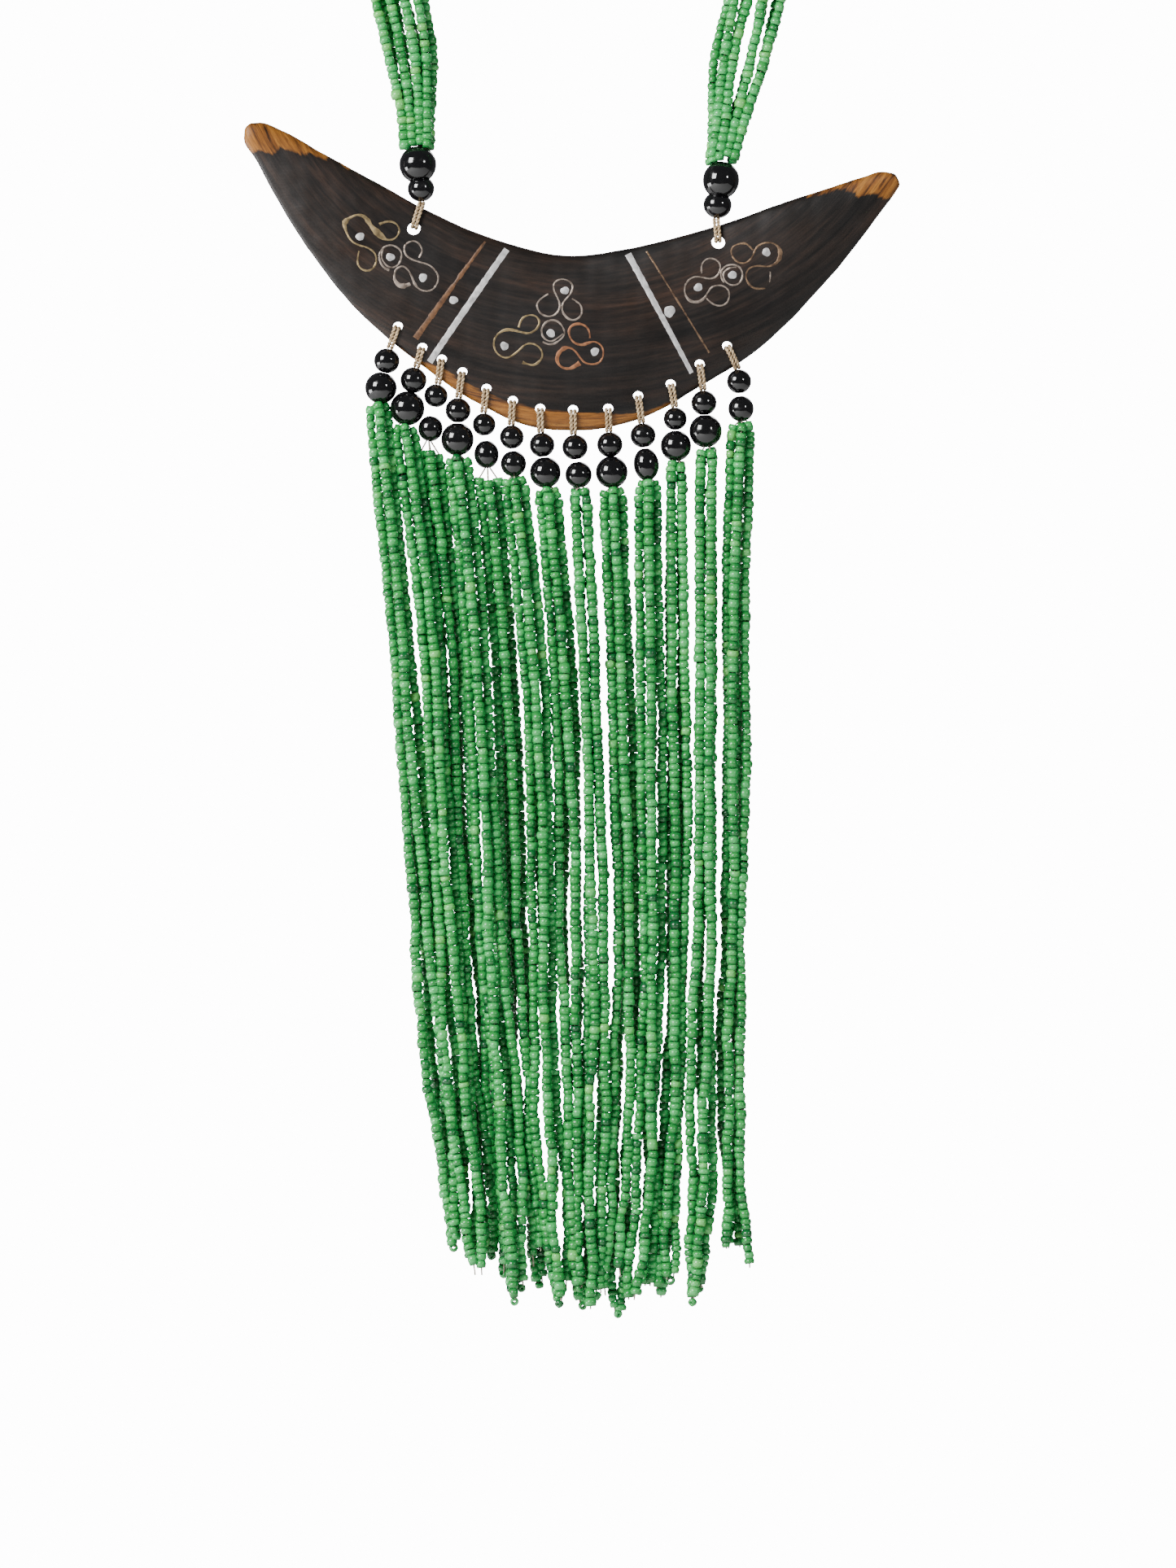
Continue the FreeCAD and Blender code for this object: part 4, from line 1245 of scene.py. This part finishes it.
# %% Bend the scroll wires
SCROLLS = [
    ("left_scroll", "brass", [
        (-64.6, -195.4, 0.4), (-65.3, -198.2, 0.5), (-64.6, -200.6, 0.62), (-62.2, -201.7, 0.6),
        (-60.1, -200.8, 0.55), (-59.1, -198.2, 0.5), (-59.8, -195.8, 0.5), (-62.0, -194.3, 0.5),
        (-64.6, -193.7, 0.5), (-66.8, -192.6, 0.55), (-68.2, -190.5, 0.5), (-68.9, -188.4, 0.9),
        (-69.2, -186.8, 1.7), (-67.7, -185.3, 0.9), (-65.3, -184.2, 0.5), (-63.3, -184.6, 1),
        (-62.0, -185.9, 1.5), (-61.0, -187.7, 1.1), (-59.3, -189.5, 2.3), (-57.9, -190.8, 2),
        (-56.2, -192.1, 0.6), (-53.8, -191.9, 0.5), (-52.4, -190.1, 0.5), (-52.2, -188.6, 0.5),
        (-53.1, -187.0, 0.5), (-55.0, -186.2, 0.55), (-57.0, -186.6, 0.6), (-58.4, -187.2, 0.9),
    ]),
    ("left_spiral", "nickel", [
        (-55.3, -201.3, 0.8), (-57.2, -200.6, 0.6), (-58.4, -198.2, 0.6), (-58.4, -196.3, 0.55),
        (-57.2, -194.3, 0.5), (-55.3, -193.5, 0.5), (-53.4, -193.9, 0.5), (-51.7, -195.3, 0.5),
        (-51.5, -197.2, 0.5), (-52.2, -199.4, 0.5), (-54.1, -200.6, 0.5), (-56.0, -200.2, 0.5),
        (-57.4, -198.4, 0.45), (-57.8, -196.8, 0.5), (-57.2, -194.6, 0.5),
    ]),
    ("left_lower_scroll", "nickel", [
        (-46.2, -197.5, 0.45), (-45.2, -195.8, 0.5), (-45.5, -194.1, 0.5), (-46.7, -192.6, 0.5),
        (-48.3, -192.2, 0.5), (-50.3, -193.2, 0.5), (-50.9, -194.8, 0.5), (-50.3, -196.8, 0.6),
        (-48.3, -198.1, 0.55), (-46.0, -198.8, 0.5), (-43.1, -199.6, 0.5), (-41.2, -201.3, 0.5),
        (-40.2, -203.2, 0.5), (-40.6, -205.6, 0.5), (-42.1, -207.4, 0.5), (-44.0, -207.8, 0.5),
        (-46.0, -207.3, 0.5), (-47.4, -205.9, 0.8), (-48.3, -203.7, 0.6), (-49.1, -201.8, 0.5),
        (-50.3, -200.4, 0.5), (-51.7, -200.0, 0.5), (-53.4, -201.1, 0.5), (-53.9, -203.0, 0.55),
        (-53.6, -204.7, 1), (-52.2, -206.1, 1.5), (-50.5, -206.2, 1.5), (-48.9, -205.5, 0.8),
    ]),
    ("top_scroll", "nickel", [
        (-6.6, -208.6, 0.5), (-8.5, -209.7, 0.5), (-10.0, -211.3, 0.5), (-10.0, -213.0, 0.5),
        (-8.8, -214.9, 0.5), (-6.4, -215.7, 0.5), (-4.2, -214.9, 0.5), (-3.1, -213.2, 0.5),
        (-3.0, -211.6, 0.5), (-3.9, -209.4, 0.5), (-4.9, -207.5, 0.5), (-5.0, -205.6, 0.5),
        (-3.9, -204.3, 0.5), (-2.0, -203.9, 0.45), (-0.1, -204.6, 0.5), (1.0, -205.9, 0.6),
        (0.7, -207.8, 0.5), (-0.4, -209.4, 0.5), (-1.8, -210.8, 0.5), (-2.4, -212.4, 0.5),
        (-2.2, -214.3, 0.5), (-0.7, -216.2, 0.65), (1.2, -216.8, 0.65), (3.1, -215.9, 0.5),
        (3.9, -214.1, 0.5), (3.4, -211.9, 0.5), (2.0, -210.8, 0.5), (0.7, -210.0, 0.4),
    ]),
    ("middle_left_scroll", "brass", [
        (-15.6, -218.9, 0.6), (-15.3, -217.3, 0.6), (-14.2, -215.7, 0.7), (-12.3, -215.0, 0.5),
        (-10.4, -215.3, 0.5), (-9.2, -216.8, 0.55), (-9.6, -218.7, 0.55), (-10.7, -220.0, 0.55),
        (-12.6, -220.8, 0.65), (-14.8, -220.4, 0.6), (-17.2, -219.7, 1), (-19.6, -219.5, 0.9),
        (-21.8, -220.6, 0.6), (-23.2, -222.5, 0.5), (-23.3, -224.9, 0.5), (-22.4, -226.8, 0.5),
        (-20.7, -228.0, 0.5), (-19.1, -228.3, 0.55), (-17.2, -227.3, 0.55), (-15.3, -225.7, 0.55),
        (-13.7, -224.1, 0.5), (-11.8, -223.7, 0.55), (-9.9, -224.4, 0.55), (-8.5, -226.0, 0.5),
        (-8.3, -227.9, 0.5), (-9.1, -229.2, 0.6), (-10.8, -230.5, 0.7), (-12.6, -230.3, 0.5),
        (-14.5, -229.6, 1),
    ]),
    ("middle_spiral", "nickel", [
        (-8.3, -223.3, 0.55), (-6.9, -224.1, 0.6), (-5.0, -224.1, 0.55), (-2.8, -222.7, 0.5),
        (-1.3, -220.8, 0.5), (-2.3, -218.4, 0.55), (-3.6, -217.0, 0.6), (-5.5, -216.5, 0.65),
        (-7.4, -217.3, 0.6), (-8.7, -219.2, 0.5), (-8.5, -221.4, 0.5), (-7.4, -222.7, 0.5),
        (-5.8, -223.3, 0.5), (-4.2, -222.6, 0.45), (-2.0, -220.8, 0.4),
    ]),
    ("middle_right_scroll", "copper", [
        (6.2, -222.2, 0.5), (6.2, -220.3, 0.5), (5.0, -218.4, 0.55), (2.6, -217.6, 0.9),
        (0.4, -218.4, 0.8), (-0.4, -220.0, 0.7), (0.1, -222.2, 0.5), (1.5, -223.8, 0.6),
        (3.7, -224.4, 0.8), (6.1, -223.5, 0.8), (7.5, -223.2, 0.5), (9.1, -223.8, 0.5),
        (10.3, -225.4, 0.5), (10.3, -227.9, 0.5), (9.1, -229.8, 0.5), (6.9, -230.3, 0.5),
        (4.5, -229.8, 0.5), (3.1, -228.1, 0.55), (1.8, -226.2, 0.5), (0.1, -225.0, 0.55),
        (-1.8, -225.2, 1.2), (-3.5, -226.8, 1.3), (-4.1, -229.0, 1), (-2.8, -231.1, 0.6),
        (-0.4, -231.7, 0.7), (1.5, -230.9, 1.4), (3.1, -229.8, 1.8),
    ]),
    ("right_lower_scroll", "nickel", [
        (40.5, -202.3, 0.5), (40.2, -200.5, 0.5), (41.0, -198.5, 0.5), (42.5, -197.6, 0.5),
        (44.3, -197.7, 0.5), (45.9, -198.9, 0.5), (46.3, -200.5, 0.5), (45.8, -202.3, 0.5),
        (44.6, -203.6, 0.5), (42.8, -204.0, 0.5), (40.8, -203.5, 0.5), (38.8, -203.2, 0.5),
        (37.0, -203.8, 0.5), (35.6, -205.4, 0.5), (35.1, -207.2, 0.5), (35.5, -209.2, 0.6),
        (36.7, -210.7, 0.9), (38.5, -211.2, 0.9), (40.3, -210.8, 0.8), (41.7, -209.4, 0.5),
        (42.3, -208.1, 0.5), (43.7, -206.3, 0.5), (45.4, -205.9, 0.5), (47.2, -206.1, 0.5),
        (48.8, -207.4, 0.5), (49.0, -209.4, 0.5), (48.3, -211.4, 0.5), (46.8, -212.2, 0.5),
        (45.0, -212.2, 0.5), (43.2, -211.3, 0.5), (41.9, -209.9, 0.4),
    ]),
    ("right_spiral", "nickel", [
        (51.2, -200.4, 0.4), (49.5, -200.4, 0.5), (47.9, -201.2, 0.5), (47.0, -202.5, 0.5),
        (47.3, -204.3, 0.5), (48.6, -205.6, 0.5), (50.1, -206.0, 0.5), (51.9, -205.5, 0.5),
        (53.0, -203.8, 0.5), (53.0, -201.8, 0.5), (51.9, -200.1, 0.5), (50.1, -199.5, 0.5),
        (48.1, -199.8, 0.5), (46.8, -200.9, 0.5), (46.2, -202.5, 0.5), (46.6, -204.1, 0.5),
        (47.3, -205.1, 0.4),
    ]),
    ("right_upper_scroll", "bronze", [
        (60.0, -206.9, 0.4), (57.7, -207.1, 0.55), (55.9, -206.6, 0.5), (54.6, -205.2, 0.5),
        (53.9, -203.4, 0.45), (54.4, -201.4, 0.5), (55.7, -200.3, 0.5), (57.9, -199.9, 0.5),
        (60.4, -200.3, 0.5), (62.4, -199.8, 0.55), (64.0, -198.5, 1), (64.6, -196.9, 1.5),
        (64.5, -194.9, 1.1), (63.3, -193.4, 0.5), (61.3, -192.7, 0.5), (59.1, -193.0, 0.5),
        (57.5, -194.0, 0.6), (56.7, -195.4, 0.55), (56.2, -196.9, 0.5), (54.8, -198.7, 0.5),
        (53.0, -199.3, 0.5), (51.2, -198.7, 0.5), (49.9, -197.2, 0.5), (49.4, -195.6, 0.5),
        (49.9, -194.0, 0.45), (51.7, -193.2, 0.45), (53.5, -192.9, 0.6), (55.0, -193.6, 0.5),
        (56.2, -195.1, 0.5),
    ]),
    ("right_short_wire", "nickel", [
        (61.5, -201.8, 0.35), (61.6, -203.4, 0.45), (61.3, -205.0, 0.35),
    ]),
]
metal_names = list(metals)
rng = np.random.default_rng(11)
for name, metal, points in SCROLLS:
    values = np.array(points, float) / 1000
    line = spline_line([(x, 0.0, z) for x, z, _ in values])
    knots = distances(np.stack([values[:, 0], values[:, 0] * 0, values[:, 1]], axis=1))
    share = distances(line) / distances(line)[-1]
    widths = np.interp(share, knots / knots[-1], values[:, 2])
    gathered = Gathered()
    flat_bar(gathered, line, widths, rng, 0)
    piece = gathered.piece("wire_" + name, [metals[metal]])
    finish_inlay(piece, "wire_scrolls")
print("scroll wires bent:", len(SCROLLS))

# %% Hammer in the strips
STRIPS = [
    ("silver_strip_left", "silver", "silver_strips", "silver_inlay",
     (-19.3, -194.8), (-43.0, -229.4), 1.9, 1.9),
    ("silver_strip_right", "silver", "silver_strips", "silver_inlay",
     (17.9, -196.2), (37.4, -232.8), 2.0, 1.3),
    ("copper_strip_left", "old_copper", "copper_strips", "copper_inlay",
     (-25.9, -192.4), (-47.3, -222.2), 0.8, 1.7),
    ("brass_line_right", "bronze", "copper_strips", "copper_inlay",
     (23.6, -195.4), (42.8, -226.6), 0.5, 0.45),
]
for name, metal, replaced, slot_name, upper, lower, upper_width, lower_width in STRIPS:
    ends = np.array([(upper[0], 0.0, upper[1]), (lower[0], 0.0, lower[1])]) / 1000
    line = ends[0] + (ends[1] - ends[0]) * np.linspace(0, 1, 30)[:, None]
    widths = np.linspace(upper_width, lower_width, 30) / 1000
    gathered = Gathered()
    flat_bar(gathered, line, widths, rng, 0, 0.05 if metal == "silver" else 0.16)
    piece = gathered.piece(name, [metals[metal]])
    finish_inlay(piece, replaced)
print("strips set:", len(STRIPS))

# %% [markdown]
# ## Silver pins
# Each pin is a short rod of soft silver driven into a drilled hole and filed flat, which leaves a slightly
# lumpy outline. One pin is modelled from a cylinder with a bevelled rim, and each copy is knocked out of round.

# %% Drive the pins
PINS = [
    (-64.3, -191.0), (-55.0, -197.3), (-45.0, -203.6), (-35.6, -210.5), (-1.5, -207.6), (-5.8, -220.7),
    (-20.0, -224.6), (7.7, -226.3), (60.3, -195.8), (49.9, -202.8), (39.4, -206.6), (30.6, -214.0),
]
PIN_RADIUS = 0.00128
BIG_PIN_RADIUS = 0.00175
PIN_PROUD = 0.00010
PIN_LENGTH = 0.0012

deselect_all()
bpy.ops.mesh.primitive_cylinder_add(vertices=24, radius=1.0, depth=1.0, location=(0, 0, -0.5))
pin_pattern = bpy.context.active_object
bpy.ops.object.transform_apply(location=True)
bpy.ops.object.mode_set(mode="EDIT")
select_vertices(pin_pattern, lambda co: co.z > -0.1)
bpy.ops.mesh.bevel(offset=0.10, segments=2, affect="EDGES")
bpy.ops.object.mode_set(mode="OBJECT")
for count, (x, z) in enumerate(PINS, 1):
    mesh = pin_pattern.data.copy()
    mesh.name = f"silver_pin_{count:02d}"
    radius = BIG_PIN_RADIUS if count == len(PINS) else PIN_RADIUS
    phases = rng.uniform(0, 2 * math.pi, 3)
    depth = face_depth(x / 1000, z / 1000)
    for vertex in mesh.vertices:
        angle = math.atan2(vertex.co.y, vertex.co.x)
        lump = 0.07 * math.sin(2 * angle + phases[0]) + 0.06 * math.sin(3 * angle + phases[1])
        lump += 0.035 * math.sin(5 * angle + phases[2])
        vertex.co = (
            x / 1000 + vertex.co.x * radius * (1 + lump),
            depth - PIN_PROUD - vertex.co.z * PIN_LENGTH,
            z / 1000 + vertex.co.y * radius * (1 + lump),
        )
    piece = bpy.data.objects.new(mesh.name, mesh)
    bpy.context.scene.collection.objects.link(piece)
    mesh.materials.append(metals["silver"])
    finish_inlay(piece, "silver_pins")
bpy.data.objects.remove(pin_pattern)
print("pins driven:", len(PINS))

# %% [markdown]
# ## Twine loops
# Every pair of black beads hangs from two turns of two-ply twine that pass through a hole in the wood. Each
# turn is one closed smooth line, and two plies are twisted round it.

# %% Twist the twine
twine_finish, tree, shader = new_finish("waxed_twine", 0.62)
tufts = noise(tree, place_on(tree), 1500.0, 4.0, 0.6)
tree.links.new(
    ramp(tree, tufts, [(0.32, (0.10, 0.055, 0.022)), (0.50, (0.36, 0.25, 0.135)), (0.70, (0.60, 0.48, 0.30))]),
    shader.inputs["Base Color"],
)
bump(tree, shader, tufts, 0.5, 0.0002)

PLY_RADIUS = 0.00031
PLY_OFFSET = 0.00027
TWIST_LENGTH = 0.0026
TURN_OFFSET = 0.00058
LEG_DEPTH = 0.0005
RIM_DEPTH = 0.0019
FACE_GAP = 0.00095
PLY_SIDES = 8


def closed_tube(line, radius, sides):
    """A round tube along a closed line."""
    ahead = np.roll(line, -1, axis=0) - np.roll(line, 1, axis=0)
    ahead /= np.linalg.norm(ahead, axis=1, keepdims=True)
    side, front = frames(ahead, (0.98, 0.05, 0.19))
    angles = np.arange(sides) * 2 * math.pi / sides
    ring = side[:, None, :] * np.cos(angles)[None, :, None]
    ring = ring + front[:, None, :] * np.sin(angles)[None, :, None]
    corners = (line[:, None, :] + ring * radius).reshape(-1, 3)
    faces = []
    rows = len(line)
    for row in range(rows):
        low, high = row * sides, (row + 1) % rows * sides
        for step in range(sides):
            after = (step + 1) % sides
            faces.append((low + step, low + after, high + after, high + step))
    return corners, np.array(faces)


def twine_turns(name, hole, end):
    """Two twisted turns from the hole to the bead's end, as one piece."""
    along = (end - hole).normalized()
    across = along.cross(Vector((0, 1, 0)))
    hit = carved_face.ray_cast(end, (hole - end).normalized())
    rim = (hit[0] - hole).length
    tip = end - along * 0.00068
    front = [(tip, LEG_DEPTH), (hole + along * (rim + 0.0004), RIM_DEPTH)]
    for station in (rim - 0.0018, 0.0004):
        spot = hole + along * station
        front.append((spot, abs(face_depth(spot.x, spot.z)) + FACE_GAP))
    gathered = Gathered()
    for shift in (-TURN_OFFSET, TURN_OFFSET):
        route = [spot + across * shift - Vector((0, depth, 0)) for spot, depth in front]
        route += [spot + across * shift + Vector((0, depth, 0)) for spot, depth in reversed(front)]
        line = spline_line([tuple(point) for point in route], closed=True)
        length = distances(np.concatenate([line, line[:1]]))[-1]
        count = int(length / 0.00016)
        line = at_distance(np.concatenate([line, line[:1]]), np.linspace(0, length, count, endpoint=False))
        ahead = np.roll(line, -1, axis=0) - np.roll(line, 1, axis=0)
        ahead /= np.linalg.norm(ahead, axis=1, keepdims=True)
        side, deep = frames(ahead, (0.98, 0.05, 0.19))
        turns = max(round(length / TWIST_LENGTH), 1)
        angle = 2 * math.pi * turns * np.arange(count) / count
        for ply in (0.0, math.pi):
            own = line + PLY_OFFSET * (
                side * np.cos(angle + ply)[:, None] + deep * np.sin(angle + ply)[:, None]
            )
            corners, faces = closed_tube(own, PLY_RADIUS, PLY_SIDES)
            gathered.add(corners, faces, 0.5, 0)
    piece = gathered.piece(name, [twine_finish])
    return piece


for number in numbers:
    hole = joint_places["tassel_sway_" + number]
    end = joint_places["tassel_swing_" + number]
    piece = twine_turns("twine_loop_" + number, hole, Vector((end.x, 0.0, end.z)))
    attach(piece, "loop_" + number)
    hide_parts("thread_loop_" + number)
for (side, small, large), (x, z) in zip(STRAP_BEADS, STRAP_HOLES):
    small_place = Vector((small[0], 0, small[1])) / 1000
    large_place = Vector((large[0], 0, large[1])) / 1000
    end = small_place - (large_place - small_place).normalized() * (small[3] / 2000)
    piece = twine_turns("strap_twine_" + side, Vector((x, 0, z)), end)
    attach(piece, "crescent")
    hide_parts("strap_loops")
print("twine loops:", len(numbers) + len(STRAP_BEADS))
